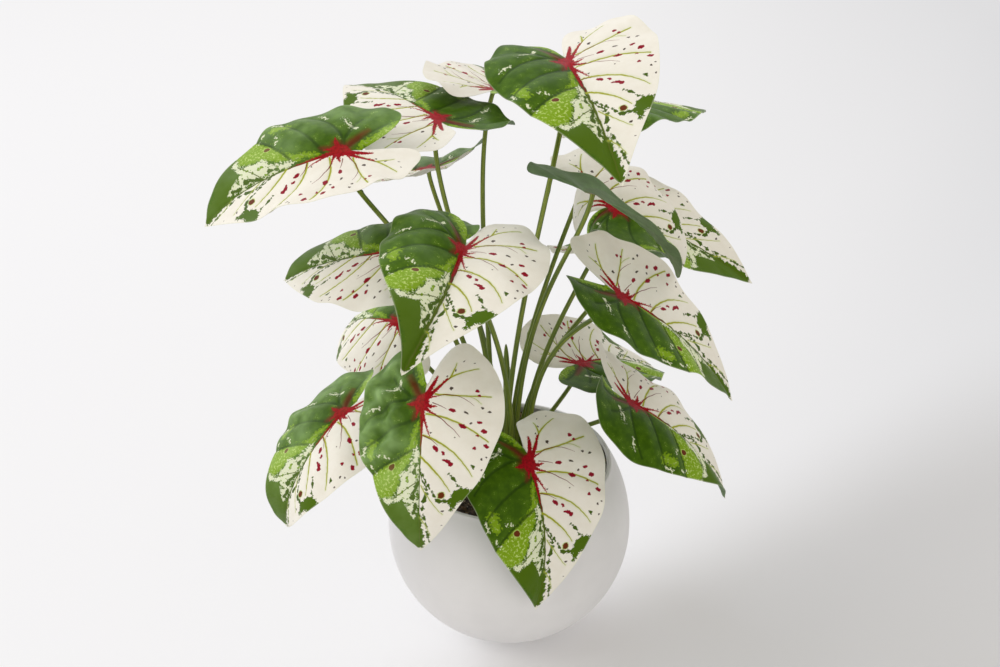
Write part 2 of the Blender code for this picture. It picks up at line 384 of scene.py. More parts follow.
def dress(piece: bpy.types.Object, slot: str, *materials: bpy.types.Material) -> None:
    """Gives a piece its looks and its place on the body.

    Args:
        piece: The piece.
        slot: The record's material slot; not used.
        materials: Its materials.
    """
    for material in materials:
        piece.data.materials.append(material)
    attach(piece, "root")


class Ink(Enum):
    """What a mark in the leaf's print is drawn with."""

    LIME = "lime vein"
    DEEP = "dark green vein"
    RIB = "olive midrib"
    WINE = "fine wine-red vein"
    CRIMSON = "crimson star at the joint"
    SMEAR = "brown-red smear in the green"
    SPOT = "crimson spot"
    SPECK = "dark speck"
    MOSS = "broken moss-green patch"
    RUST = "rust spot with a pale rim"
    CHALK = "pale fleck in the green"


class Half(Enum):
    """The two halves of a blade, either side of its midrib."""

    GREEN = "green"
    WHITE = "white"


class Zone(Enum):
    """Wide areas of the leaf's print, each with a torn edge."""

    LIME = "lime-green"
    BARE = "white in the green half"
    LEAFY = "plain green"


# How far past a mark its soft and ragged edge may reach, as a share of the blade's length.
MARK_SPARE = 0.03


@dataclass(frozen=True)
class Stroke:
    """A curved mark that changes width along its length. Sizes are shares of the blade's length.

    Places are (across, along): across is positive on the green half, and along is 0 at the joint
    with the stalk and 1 at the tip. Relief is how strongly the mark is pressed in as a vein.
    """

    ink: Ink
    start: Point2
    middle: Point2
    end: Point2
    width: Point2
    relief: float = 0.0

    @property
    def chord(self) -> Point2:
        """The length and the direction of the straight line from start to end."""
        across, along = self.end[0] - self.start[0], self.end[1] - self.start[1]
        return math.hypot(across, along), math.atan2(along, across)

    @property
    def bow(self) -> float:
        """How far the middle lies to the left of the straight line.

        Returns:
            The distance, negative to the right.
        """
        _, turn = self.chord
        across = self.middle[0] - (self.start[0] + self.end[0]) / 2
        along = self.middle[1] - (self.start[1] + self.end[1]) / 2
        return along * math.cos(turn) - across * math.sin(turn)

    def reaches(self, half: Half) -> bool:
        """Whether the mark comes into a half of the blade.

        Args:
            half: The half.

        Returns:
            True if some of the mark is in it.
        """
        places = (self.start[0], self.end[0])
        spare = max(self.width) / 2 + MARK_SPARE
        return max(places) + spare > 0 if half is Half.GREEN else min(places) - spare < 0

    def distance(self, across: Array, along: Array) -> Array:
        """Distance from places to the curve: the least over 33 points of its parabola.

        Args:
            across: Places across the blade.
            along: Places along it.

        Returns:
            The distances.
        """
        length, turn = self.chord
        t = np.linspace(0, 1, 33)
        x, y = length * t, 4 * self.bow * t * (1 - t)
        curve_across = self.start[0] + x * math.cos(turn) - y * math.sin(turn)
        curve_along = self.start[1] + x * math.sin(turn) + y * math.cos(turn)
        return np.hypot(across[..., None] - curve_across, along[..., None] - curve_along).min(axis=-1)

    def draw(self, wiring: Wiring, place: Socket) -> Socket:
        """Nodes for the distance to the mark's edge, negative inside it.

        The place is turned so that the straight line from start to end runs ahead. The distance is
        that to the parabola, straight aside or past an end, less half the width there.

        Args:
            wiring: The tree that the nodes go into.
            place: The place on the leaf.

        Returns:
            The distance.
        """
        length, turn = self.chord
        ahead = (math.cos(turn) / length, math.sin(turn) / length, 0)
        left = (-math.sin(turn), math.cos(turn), 0)
        along = wiring.vector("DOT_PRODUCT", place, ahead)
        aside = wiring.vector("DOT_PRODUCT", place, left)
        before = self.start[0] * ahead[0] + self.start[1] * ahead[1]
        share = wiring.math("SUBTRACT", along, before, clamp=True)
        gone = wiring.math("SUBTRACT", along, before)
        passed = wiring.math("MULTIPLY", wiring.math("SUBTRACT", gone, share), length)
        rest = wiring.math("MULTIPLY_ADD", share, -4 * self.bow, 4 * self.bow)
        level = self.start[0] * left[0] + self.start[1] * left[1]
        off = wiring.math("SUBTRACT", aside, wiring.math("MULTIPLY_ADD", share, rest, level))
        square = wiring.math("MULTIPLY_ADD", off, off, wiring.math("MULTIPLY", passed, passed))
        width = wiring.math("MULTIPLY_ADD", share, (self.width[1] - self.width[0]) / 2, self.width[0] / 2)
        return wiring.math("SUBTRACT", wiring.math("SQRT", square), width)


@dataclass(frozen=True)
class Dab:
    """An oval mark. Sizes are shares of the blade's length, and turn is in degrees."""

    ink: Ink
    place: Point2
    size: Point2
    turn: float = 0.0

    def reaches(self, half: Half) -> bool:
        """Whether the mark comes into a half of the blade."""
        spare = max(self.size) / 2 + MARK_SPARE
        return self.place[0] + spare > 0 if half is Half.GREEN else self.place[0] - spare < 0

    def draw(self, wiring: Wiring, place: Socket) -> Socket:
        """Nodes for the distance to the mark's edge, negative inside it.

        Args:
            wiring: The tree that the nodes go into.
            place: The place on the leaf.

        Returns:
            The distance.
        """
        turn = math.radians(self.turn)
        long_way = (math.cos(turn) * 2 / self.size[0], math.sin(turn) * 2 / self.size[0], 0)
        short_way = (-math.sin(turn) * 2 / self.size[1], math.cos(turn) * 2 / self.size[1], 0)
        shares = []
        for way in (long_way, short_way):
            reached = wiring.vector("DOT_PRODUCT", place, way)
            shares.append(wiring.math("SUBTRACT", reached, self.place[0] * way[0] + self.place[1] * way[1]))
        square = wiring.math("MULTIPLY", shares[0], shares[0])
        square = wiring.math("MULTIPLY_ADD", shares[1], shares[1], square)
        return wiring.math("MULTIPLY_ADD", wiring.math("SQRT", square), self.size[1] / 2, -self.size[1] / 2)


@dataclass(frozen=True)
class Area:
    """A wide area of the print, given by its corners."""

    zone: Zone
    corners: tuple[Point2, ...]

    def distance(self, across: Array, along: Array) -> Array:
        """Distance to the outline, negative inside it.

        Each side gives the distance to its nearest point. A place is inside if a line from it
        towards growing across crosses the outline an odd number of times.

        Args:
            across: Places across the blade.
            along: Places along it.

        Returns:
            The distances.
        """
        x, y = across[..., None], along[..., None]
        ax, ay = np.array(self.corners).T
        bx, by = np.roll(ax, -1), np.roll(ay, -1)
        dx, dy = bx - ax, by - ay
        t = np.clip(((x - ax) * dx + (y - ay) * dy) / (dx**2 + dy**2), 0, 1)
        apart = np.hypot(x - ax - t * dx, y - ay - t * dy).min(axis=-1)
        level = np.where(np.abs(dy) < 1e-9, 1e-9, dy)
        crossed = ((ay > y) != (by > y)) & (x < ax + (y - ay) * dx / level)
        return np.where(crossed.sum(axis=-1) % 2 == 1, -apart, apart)


# Width of most veins where they start, as a share of the blade's length.
VEIN = 0.0125

STROKES: tuple[Stroke, ...] = (
    # White half: lime veins.
    Stroke(Ink.LIME, (-0.05, -0.07), (-0.095, -0.115), (-0.135, -0.155), (0.013, 0.010), 0.7),
    Stroke(Ink.LIME, (-0.135, -0.155), (-0.21, -0.195), (-0.29, -0.225), (VEIN, 0.005), 0.5),
    Stroke(Ink.LIME, (-0.135, -0.155), (-0.15, -0.20), (-0.158, -0.25), (VEIN, 0.004), 0.3),
    Stroke(Ink.LIME, (-0.06, -0.045), (-0.22, -0.04), (-0.38, -0.045), (0.010, 0.008), 0.8),
    Stroke(Ink.LIME, (-0.20, -0.042), (-0.28, -0.03), (-0.33, 0.005), (0.004, 0.002)),
    Stroke(Ink.LIME, (-0.02, 0.075), (-0.20, 0.122), (-0.385, 0.24), (0.012, 0.008), 1.0),
    Stroke(Ink.LIME, (0.0, 0.195), (-0.175, 0.285), (-0.305, 0.445), (VEIN, 0.005), 1.0),
    Stroke(Ink.LIME, (0.0, 0.32), (-0.085, 0.40), (-0.178, 0.538), (VEIN, 0.005), 0.9),
    Stroke(Ink.LIME, (-0.01, 0.49), (-0.077, 0.60), (-0.138, 0.685), (0.006, 0.003), 0.6),
    Stroke(Ink.LIME, (0.0, 0.70), (-0.04, 0.765), (-0.065, 0.84), (0.005, 0.002), 0.4),
    # The midrib and the vein that crosses the bare white.
    Stroke(Ink.RIB, (0.0, 0.22), (0.001, 0.6), (0.0, 0.97), (0.010, 0.004), 1.4),
    Stroke(Ink.RIB, (0.01, 0.465), (0.09, 0.52), (0.17, 0.59), (0.006, 0.004), 0.8),
    # Green half: dark veins.
    Stroke(Ink.DEEP, (0.02, -0.03), (0.085, -0.15), (0.14, -0.30), (0.010, 0.004), 0.8),
    Stroke(Ink.DEEP, (0.03, 0.0), (0.11, -0.05), (0.24, -0.18), (0.016, 0.005), 0.8),
    Stroke(Ink.DEEP, (0.04, -0.03), (0.22, -0.015), (0.42, 0.10), (0.011, 0.004), 1.1),
    Stroke(Ink.DEEP, (0.02, 0.10), (0.18, 0.145), (0.385, 0.265), (0.011, 0.004), 1.1),
    Stroke(Ink.DEEP, (0.02, 0.272), (0.15, 0.325), (0.345, 0.455), (0.010, 0.004), 1.0),
    Stroke(Ink.DEEP, (0.0, 0.68), (0.045, 0.73), (0.09, 0.80), (0.006, 0.003), 0.5),
    # Fine red veins.
    Stroke(Ink.WINE, (-0.06, -0.03), (-0.20, -0.035), (-0.29, 0.02), (0.006, 0.002)),
    Stroke(Ink.WINE, (-0.05, 0.01), (-0.09, 0.024), (-0.135, 0.046), (0.006, 0.002)),
    Stroke(Ink.WINE, (-0.04, 0.06), (-0.13, 0.12), (-0.225, 0.21), (0.007, 0.002)),
    Stroke(Ink.WINE, (-0.05, -0.07), (-0.09, -0.11), (-0.135, -0.155), (0.010, 0.005)),
    Stroke(Ink.WINE, (-0.01, 0.20), (-0.06, 0.225), (-0.10, 0.255), (0.006, 0.002)),
    Stroke(Ink.WINE, (0.001, 0.18), (0.001, 0.24), (0.0, 0.31), (0.013, 0.003)),
    # Crimson brush strokes round the joint.
    Stroke(Ink.CRIMSON, (0.01, -0.01), (-0.03, -0.08), (-0.06, -0.155), (0.036, 0.014)),
    Stroke(Ink.CRIMSON, (0.0, -0.01), (-0.065, -0.075), (-0.117, -0.145), (0.034, 0.010)),
    Stroke(Ink.CRIMSON, (0.01, 0.015), (-0.03, 0.03), (-0.075, 0.032), (0.040, 0.007)),
    Stroke(Ink.CRIMSON, (0.01, 0.03), (-0.03, 0.055), (-0.075, 0.075), (0.030, 0.004)),
    Stroke(Ink.CRIMSON, (0.0, 0.08), (-0.025, 0.145), (-0.05, 0.207), (0.022, 0.003)),
    Stroke(Ink.CRIMSON, (0.004, 0.0), (0.004, 0.12), (0.002, 0.26), (0.036, 0.005), 1.4),
    Stroke(Ink.CRIMSON, (0.02, 0.01), (0.06, 0.012), (0.11, 0.01), (0.050, 0.008)),
    Stroke(Ink.CRIMSON, (0.0, -0.01), (-0.05, -0.025), (-0.085, -0.035), (0.022, 0.004)),
    Stroke(Ink.CRIMSON, (0.02, 0.03), (0.033, 0.06), (0.042, 0.095), (0.030, 0.005)),
    Stroke(Ink.SMEAR, (0.01, 0.0), (0.035, 0.004), (0.065, 0.010), (0.095, 0.050)),
    Stroke(Ink.SMEAR, (0.01, 0.0), (0.04, -0.045), (0.065, -0.095), (0.050, 0.014)),
    Stroke(Ink.SMEAR, (0.02, -0.01), (0.065, -0.08), (0.12, -0.18), (0.040, 0.010)),
    Stroke(Ink.SMEAR, (0.02, 0.02), (0.035, 0.05), (0.06, 0.10), (0.050, 0.012)),
    # Moss patches along the midrib, and dashes out to the outer edge.
    Stroke(Ink.MOSS, (-0.10, 0.563), (-0.045, 0.475), (0.0, 0.395), (0.012, 0.010)),
    Stroke(Ink.MOSS, (-0.047, 0.518), (-0.02, 0.455), (0.0, 0.40), (0.016, 0.012)),
    Stroke(Ink.MOSS, (-0.152, 0.592), (-0.125, 0.585), (-0.10, 0.574), (0.026, 0.022)),
    Stroke(Ink.MOSS, (-0.040, 0.54), (-0.026, 0.585), (-0.018, 0.635), (0.026, 0.020)),
    Stroke(Ink.MOSS, (0.010, 0.475), (0.030, 0.52), (0.040, 0.565), (0.016, 0.036)),
    Stroke(Ink.MOSS, (0.018, 0.365), (0.030, 0.385), (0.034, 0.41), (0.014, 0.030)),
    Stroke(Ink.MOSS, (0.020, 0.605), (0.030, 0.635), (0.035, 0.665), (0.020, 0.030)),
    Stroke(Ink.MOSS, (-0.06, 0.90), (-0.045, 0.79), (-0.03, 0.68), (0.012, 0.012)),
    Stroke(Ink.MOSS, (-0.225, 0.50), (-0.20, 0.458), (-0.175, 0.425), (0.014, 0.010)),
    # The crimson comma.
    Stroke(Ink.SPOT, (-0.133, 0.342), (-0.155, 0.345), (-0.176, 0.367), (0.010, 0.030)),
    # Pale flecks in the green half.
    Stroke(Ink.CHALK, (0.16, -0.12), (0.205, -0.095), (0.26, -0.08), (0.020, 0.006)),
    Stroke(Ink.CHALK, (0.33, 0.0), (0.37, 0.012), (0.40, 0.03), (0.004, 0.012)),
    Stroke(Ink.CHALK, (0.215, 0.335), (0.235, 0.325), (0.255, 0.318), (0.005, 0.010)),
    Stroke(Ink.CHALK, (0.31, 0.44), (0.33, 0.425), (0.345, 0.40), (0.004, 0.008)),
    Stroke(Ink.CHALK, (0.385, 0.33), (0.39, 0.30), (0.395, 0.27), (0.003, 0.007)),
)

DABS: tuple[Dab, ...] = (
    Dab(Ink.CRIMSON, (0.015, 0.008), (0.090, 0.110)),
    # Crimson spots on the white half.
    Dab(Ink.SPOT, (-0.088, 0.274), (0.045, 0.024), -50),
    Dab(Ink.SPOT, (-0.133, 0.300), (0.028, 0.016), -50),
    Dab(Ink.SPOT, (-0.234, 0.145), (0.050, 0.025), -25),
    Dab(Ink.SPOT, (-0.375, 0.265), (0.036, 0.022), -40),
    Dab(Ink.SPOT, (-0.322, 0.200), (0.022, 0.012), -20),
    Dab(Ink.SPOT, (-0.360, 0.175), (0.036, 0.026), -20),
    Dab(Ink.SPOT, (-0.330, 0.120), (0.032, 0.018), -10),
    Dab(Ink.SPOT, (-0.168, 0.053), (0.048, 0.018), -12),
    Dab(Ink.SPOT, (-0.315, -0.045), (0.022, 0.016)),
    Dab(Ink.SPOT, (-0.302, -0.075), (0.024, 0.020)),
    Dab(Ink.SPOT, (-0.311, 0.275), (0.020, 0.018)),
    # Dark specks.
    Dab(Ink.SPECK, (-0.282, 0.127), (0.018, 0.012)),
    Dab(Ink.SPECK, (-0.250, 0.065), (0.032, 0.012), -25),
    Dab(Ink.SPECK, (-0.380, 0.050), (0.018, 0.011)),
    Dab(Ink.SPECK, (-0.340, 0.030), (0.020, 0.015)),
    Dab(Ink.SPECK, (-0.150, -0.080), (0.022, 0.018)),
    Dab(Ink.SPECK, (-0.353, 0.340), (0.014, 0.012)),
    Dab(Ink.SPECK, (-0.380, 0.333), (0.012, 0.010)),
    Dab(Ink.MOSS, (-0.307, 0.385), (0.028, 0.024)),
    Dab(Ink.SPECK, (-0.357, 0.405), (0.013, 0.010)),
    Dab(Ink.SPECK, (-0.196, 0.208), (0.008, 0.008)),
    Dab(Ink.SPECK, (-0.140, 0.660), (0.016, 0.013)),
    Dab(Ink.SPECK, (-0.055, 0.183), (0.016, 0.011)),
    Dab(Ink.SPECK, (-0.115, -0.160), (0.014, 0.010), 40),
    Dab(Ink.SPECK, (-0.160, -0.200), (0.014, 0.009), 60),
    Dab(Ink.SPECK, (-0.200, -0.265), (0.016, 0.007), 50),
    Dab(Ink.SPECK, (-0.262, -0.262), (0.012, 0.007), 30),
    Dab(Ink.SPECK, (-0.130, 0.765), (0.010, 0.007)),
    # Rust spots, one on each half.
    Dab(Ink.RUST, (0.195, 0.390), (0.040, 0.036)),
    Dab(Ink.RUST, (-0.130, 0.553), (0.040, 0.036), 10),
)

AREAS: tuple[Area, ...] = (
    Area(
        Zone.LIME,
        (
            (0.02, 0.12), (0.045, 0.15), (0.07, 0.25), (0.10, 0.285), (0.22, 0.37), (0.34, 0.45),
            (0.37, 0.50), (0.35, 0.53), (0.30, 0.58), (0.24, 0.60), (0.17, 0.575), (0.13, 0.50),
            (0.11, 0.42), (0.07, 0.37), (0.03, 0.27),
        ),
    ),
    Area(
        Zone.LIME,
        ((0.0, -0.10), (0.035, -0.11), (0.085, -0.22), (0.12, -0.32), (0.11, -0.42), (0.0, -0.35)),
    ),
    Area(
        Zone.LIME,
        ((0.345, 0.20), (0.315, 0.24), (0.305, 0.335), (0.335, 0.345), (0.37, 0.31), (0.37, 0.24)),
    ),
    Area(
        Zone.BARE,
        (
            (0.01, 0.70), (0.03, 0.735), (0.065, 0.73), (0.075, 0.65), (0.105, 0.605),
            (0.155, 0.625), (0.205, 0.655), (0.30, 0.60), (0.33, 0.54), (0.26, 0.59), (0.19, 0.59),
            (0.15, 0.56), (0.12, 0.50), (0.11, 0.43), (0.075, 0.385), (0.05, 0.36), (0.045, 0.30),
            (0.02, 0.27), (0.008, 0.30),
        ),
    ),
    Area(
        Zone.LEAFY,
        (
            (0.0, 0.99), (0.03, 0.96), (0.055, 0.89), (0.09, 0.82), (0.14, 0.76), (0.20, 0.69),
            (0.26, 0.63), (0.245, 0.585), (0.205, 0.635), (0.155, 0.605), (0.105, 0.585),
            (0.075, 0.63), (0.05, 0.69), (0.03, 0.72), (0.012, 0.66), (-0.012, 0.66), (-0.02, 0.80),
            (-0.03, 0.90), (-0.022, 0.955),
        ),
    ),
    Area(
        Zone.LEAFY,
        (
            (-0.205, 0.525), (-0.245, 0.51), (-0.33, 0.545), (-0.33, 0.60), (-0.255, 0.61),
            (-0.22, 0.625), (-0.188, 0.685), (-0.168, 0.61), (-0.185, 0.575),
        ),
    ),
)


@dataclass(frozen=True)
class LeafInks:
    """The colours of a leaf, and how rough its two halves are."""

    green: Colour = paint(60, 92, 10)
    green_light: Colour = paint(78, 112, 16)
    deep_vein: Colour = paint(40, 66, 8)
    lime: Colour = paint(130, 166, 28)
    lime_pale: Colour = paint(196, 220, 122)
    vein_lime: Colour = paint(170, 174, 54)
    leafy: Colour = paint(81, 110, 17)
    rib: Colour = paint(92, 108, 36)
    white: Colour = paint(250, 246, 236)
    white_shade: Colour = paint(245, 240, 228)
    bare: Colour = paint(234, 239, 208)
    crimson: Colour = paint(174, 20, 34)
    crimson_dark: Colour = paint(124, 18, 22)
    smear: Colour = paint(116, 26, 26)
    wine: Colour = paint(120, 40, 40)
    spot: Colour = paint(162, 26, 52)
    speck: Colour = paint(84, 72, 64)
    moss: Colour = paint(76, 100, 30)
    rust: Colour = paint(108, 50, 21)
    # Painted sheen: a pale tint that stands in for light reflected off the green half.
    painted_sheen: Colour = paint(142, 172, 116)
    back_green: Colour = paint(104, 132, 86)
    back_white: Colour = paint(226, 222, 208)
    back_pink: Colour = paint(170, 110, 92)
    green_rough: float = 0.36
    white_rough: float = 0.50


@dataclass(frozen=True)
class Grains:
    """The noises that break up the print, and the places that its marks are drawn at."""

    coarse: Socket
    fine: Socket
    grit: Socket
    ragged: Socket
    drawn: Socket
    blotted: Socket

    @classmethod
    def over(cls, wiring: Wiring, place: Socket) -> "Grains":
        """Makes the noises over a place on the leaf.

        Args:
            wiring: The tree that the nodes go into.
            place: The place on the leaf.

        Returns:
            The grains.
        """
        coarse = wiring.noise(place, 14, 3.0, 0.6)
        fine = wiring.noise(place, 60, 4.0, 0.65)
        grit = wiring.noise(place, 170, 2.0, 0.6)
        ragged = wiring.noise(place, 32, 3.0, 0.6)
        drawn = cls.shifted(wiring, place, 22, 0.010)
        blotted = cls.shifted(wiring, drawn, 75, 0.016)
        return cls(coarse, fine, grit, ragged, drawn, blotted)

    @staticmethod
    def shifted(wiring: Wiring, place: Socket, scale: float, amount: float) -> Socket:
        """The place moved a little by noise, so that what is drawn there has an uneven edge.

        Args:
            wiring: The tree that the nodes go into.
            place: The place on the leaf.
            scale: How fine the noise is.
            amount: The width that the place moves within, as a share of the blade's length.

        Returns:
            The moved place.
        """
        noise = wiring.noise(place, scale, tint=True)
        centred = wiring.vector("SUBTRACT", noise, (0.5, 0.5, 0.5))
        return wiring.vector("ADD", place, wiring.vector("MULTIPLY", centred, (amount, amount, 0)))


# Half the width of a mark's soft edge, as a share of the blade's length.
EDGE = 0.0015


@dataclass
class LeafPrint:
    """The print that every leaf carries, as shader nodes and as relief."""

    inks: LeafInks = field(default_factory=LeafInks)
    strokes: tuple[Stroke, ...] = STROKES
    dabs: tuple[Dab, ...] = DABS
    areas: tuple[Area, ...] = AREAS

    def zone_distance(self, zone: Zone, across: Array, along: Array) -> Array:
        """Distance to the nearest area of a zone, negative inside one."""
        return np.min([area.distance(across, along) for area in self.areas if area.zone is zone], axis=0)

    def vein_groove(self, across: Array, along: Array, reach: float) -> Array:
        """How deep in a vein a place lies: for each vein its weight times a bell curve of the distance.

        Args:
            across: Places across the blade.
            along: Places along it.
            reach: The bell curve's half width.

        Returns:
            The greatest over all veins, 0 away from them.
        """
        veins = [stroke for stroke in self.strokes if stroke.relief]
        bells = [vein.relief * np.exp(-((vein.distance(across, along) / reach) ** 2)) for vein in veins]
        return np.max(bells, axis=0)

    def marks(self, wiring: Wiring, ink: Ink, place: Socket, half: Half) -> Socket:
        """Nodes for the distance to the nearest mark in one ink.

        Args:
            wiring: The tree that the nodes go into.
            ink: The ink.
            place: The place on the leaf.
            half: The half of the blade, whose own marks alone are drawn.

        Returns:
            The distance, negative inside a mark, or 1 where the half has no such mark.
        """
        found = None
        for mark in (*self.strokes, *self.dabs):
            if mark.ink is ink and mark.reaches(half):
                apart = mark.draw(wiring, place)
                found = wiring.math("MINIMUM", found, apart) if found else apart
        return found or wiring.math("ADD", 1.0, 0.0)

    def lay(
        self, wiring: Wiring, below: Socket, ink: Ink, place: Socket, half: Half, colour: object
    ) -> Socket:
        """Lays all marks in one ink over a colour, each with a crisp edge."""
        apart = self.marks(wiring, ink, place, half)
        return wiring.over(wiring.step(apart, EDGE, -EDGE), below, colour)

    def build(self, half: Half) -> SharedEffect:
        """Makes the node group for one half: place and zones in, colour, roughness and height out.

        Args:
            half: The half of the blade.

        Returns:
            The node group.
        """
        effect = SharedEffect(f"leaf_print_{half.value}", {"Place": "Vector", "Zones": "Vector"}, SURFACE)
        wiring = effect.wiring
        across, along, outward = wiring.parts(effect.taken["Place"])
        zones = wiring.parts(effect.taken["Zones"])
        grains = Grains.over(wiring, wiring.flat(effect.taken["Place"]))
        colour = self.ground(wiring, grains, across, zones, half)
        colour = self.moss_and_veins(wiring, grains, colour, half)
        colour = self.reds(wiring, grains, colour, across, half)

        # The tip is bare white, and the cut edge is paler than the face.
        tip = wiring.sway(grains.fine, 0.05, along)
        colour = wiring.over(wiring.step(tip, 0.966, 0.98), colour, self.inks.white)
        colour = wiring.over(wiring.step(outward, 0.985, 1.0, 0.3), colour, self.inks.bare)
        lightness = wiring.made("ShaderNodeRGBToBW", {0: colour}).outputs[0]
        rough = wiring.span(lightness, 0.15, 0.6, self.inks.green_rough, self.inks.white_rough)
        effect.give(colour, rough, grains.grit)
        return effect

    def ground(
        self, wiring: Wiring, grains: Grains, across: Socket, zones: list[Socket], half: Half
    ) -> Socket:
        """The ground colours: white, and green with its lime, torn white and plain green zones.

        Args:
            wiring: The group's wiring.
            grains: The noises and places.
            across: The place across the blade.
            zones: Distances to the lime, bare and leafy zones.
            half: The half of the blade.

        Returns:
            The colour.
        """
        inks, coarse, fine = self.inks, grains.coarse, grains.fine
        lime_zone, bare_zone, leafy_zone = zones
        is_green = wiring.step(across, -0.003, 0.003)
        green = wiring.over(wiring.step(coarse, 0.35, 0.7), inks.green, inks.green_light)
        white = wiring.over(wiring.step(coarse, 0.3, 0.8), inks.white, inks.white_shade)

        # The lime zone has pale speckles. Flecks, specks and dark veins lie over both greens.
        torn = wiring.sway(fine, 0.13)
        torn_more = wiring.sway(coarse, 0.10, torn)
        in_lime = wiring.step(wiring.math("ADD", lime_zone, torn_more), 0.010, -0.012)
        speckle = wiring.product(wiring.step(fine, 0.53, 0.61), wiring.step(lime_zone, 0.02, -0.02))
        green = wiring.over(in_lime, green, wiring.over(speckle, inks.lime, inks.lime_pale))
        flecks = wiring.math("ADD", self.marks(wiring, Ink.CHALK, grains.blotted, half), torn)
        green = wiring.over(wiring.step(flecks, 0.002, -0.003), green, inks.bare)
        sparse = wiring.step(wiring.product(grains.grit, coarse), 0.40, 0.42)
        green = wiring.over(sparse, green, inks.lime_pale)
        deep = self.marks(wiring, Ink.DEEP, grains.drawn, half)
        green = wiring.over(wiring.step(deep, 0.012, -0.002, 0.75), green, inks.deep_vein)

        # The torn white covers the veins and is spattered with both greens.
        bare_edge = wiring.math("ADD", bare_zone, torn_more)
        green = wiring.over(wiring.step(bare_edge, 0.004, -0.004), green, inks.bare)
        spatter = wiring.product(wiring.step(grains.ragged, 0.56, 0.60), wiring.step(bare_edge, 0.0, -0.012))
        spattered = wiring.over(wiring.step(coarse, 0.45, 0.55), inks.lime, inks.leafy)
        green = wiring.over(spatter, green, spattered)

        ground = wiring.over(is_green, white, green)
        leafy_edge = wiring.math("MULTIPLY_ADD", torn_more, 0.6, leafy_zone)
        return wiring.over(wiring.step(leafy_edge, 0.003, -0.003), ground, inks.leafy)

    def moss_and_veins(self, wiring: Wiring, grains: Grains, ground: Socket, half: Half) -> Socket:
        """Lays the moss patches, broken up by noise, then the midrib, lime veins and fine red veins.

        Args:
            wiring: The group's wiring.
            grains: The noises and places.
            ground: The colour below.
            half: The half of the blade.

        Returns:
            The colour.
        """
        inks = self.inks
        moss = self.marks(wiring, Ink.MOSS, grains.blotted, half)
        broken = wiring.step(wiring.sway(grains.ragged, -0.05, moss), 0.002, -0.003)
        ground = wiring.over(broken, ground, inks.moss)
        ground = self.lay(wiring, ground, Ink.RIB, grains.drawn, half, inks.rib)
        lime_vein = self.marks(wiring, Ink.LIME, grains.drawn, half)
        ground = wiring.over(wiring.step(lime_vein, 0.012, 0.0, 0.25), ground, inks.lime_pale)
        ground = wiring.over(wiring.step(lime_vein, EDGE, -EDGE), ground, inks.vein_lime)
        return self.lay(wiring, ground, Ink.WINE, grains.drawn, half, inks.wine)

    def reds(self, wiring: Wiring, grains: Grains, ground: Socket, across: Socket, half: Half) -> Socket:
        """Lays the smear, the crimson star, the specks and spots, and the rust spots with pale rims.

        Args:
            wiring: The group's wiring.
            grains: The noises and places.
            ground: The colour below.
            across: The place across the blade.
            half: The half of the blade.

        Returns:
            The colour.
        """
        inks, blotted = self.inks, grains.blotted
        smear = wiring.step(self.marks(wiring, Ink.SMEAR, blotted, half), 0.025, -0.015, 0.8)
        smear = wiring.product(smear, wiring.step(across, -0.003, 0.003))
        ground = wiring.over(smear, ground, inks.smear)
        star = wiring.sway(grains.grit, 0.02, self.marks(wiring, Ink.CRIMSON, blotted, half))
        star_red = wiring.over(wiring.step(grains.fine, 0.4, 0.7), inks.crimson, inks.crimson_dark)
        ground = wiring.over(wiring.step(star, 0.002, -0.002), ground, star_red)
        ground = self.lay(wiring, ground, Ink.SPECK, blotted, half, inks.speck)
        spot = self.marks(wiring, Ink.SPOT, blotted, half)
        spot_red = wiring.over(wiring.step(grains.grit, 0.45, 0.6), inks.spot, inks.crimson_dark)
        ground = wiring.over(wiring.step(spot, EDGE, -EDGE), ground, spot_red)
        rust = self.marks(wiring, Ink.RUST, blotted, half)
        ground = wiring.over(wiring.step(rust, 0.008, 0.002, 0.8), ground, inks.lime_pale)
        return wiring.over(wiring.step(rust, EDGE, -EDGE), ground, inks.rust)


@dataclass(frozen=True)
class LeafPose:
    """One leaf and its stalk. Lengths are in millimetres and angles in degrees.

    joint: where the stalk meets the blade. root: where the stalk stands in the soil (x, y).
    heading: the compass direction of the tip, from +X towards +Y. dip: how far the tip points down.
    roll: how far the green side is raised. size: the blade's length as a share of LEAF_LENGTH.
    droop: how far the blade arches from joint to tip.
    tuck: how far the two lobes behind the joint arch down.
    lift: the slope of the green and of the white side next to the midrib. curl: how far each of
    the two sides arches down. sweep: the tip's shift towards the green side, as a share of length.
    rise: the share of its height over which the stalk stays steep. neck: length of its bent end.
    ripple: height of the waves along the blade's edge. crumple: height of the folds in its green half.
    painted_sheen: how much painted sheen, a pale tint that stands in for reflected light, lies on
    the green half, from 0 to 1. swing: how far the stalk's bend is pulled towards +X, to clear a
    neighbouring blade.
    """

    name: str
    joint: Point3
    root: Point2
    heading: float
    dip: float
    roll: float
    size: float
    droop: float
    tuck: float
    lift: Point2
    curl: Point2
    sweep: float
    rise: float
    neck: float
    ripple: float = 1.6
    crumple: float = 0.0
    # How much painted sheen, standing in for reflected light, lies on the green half.
    painted_sheen: float = 0.06
    swing: float = 0.0


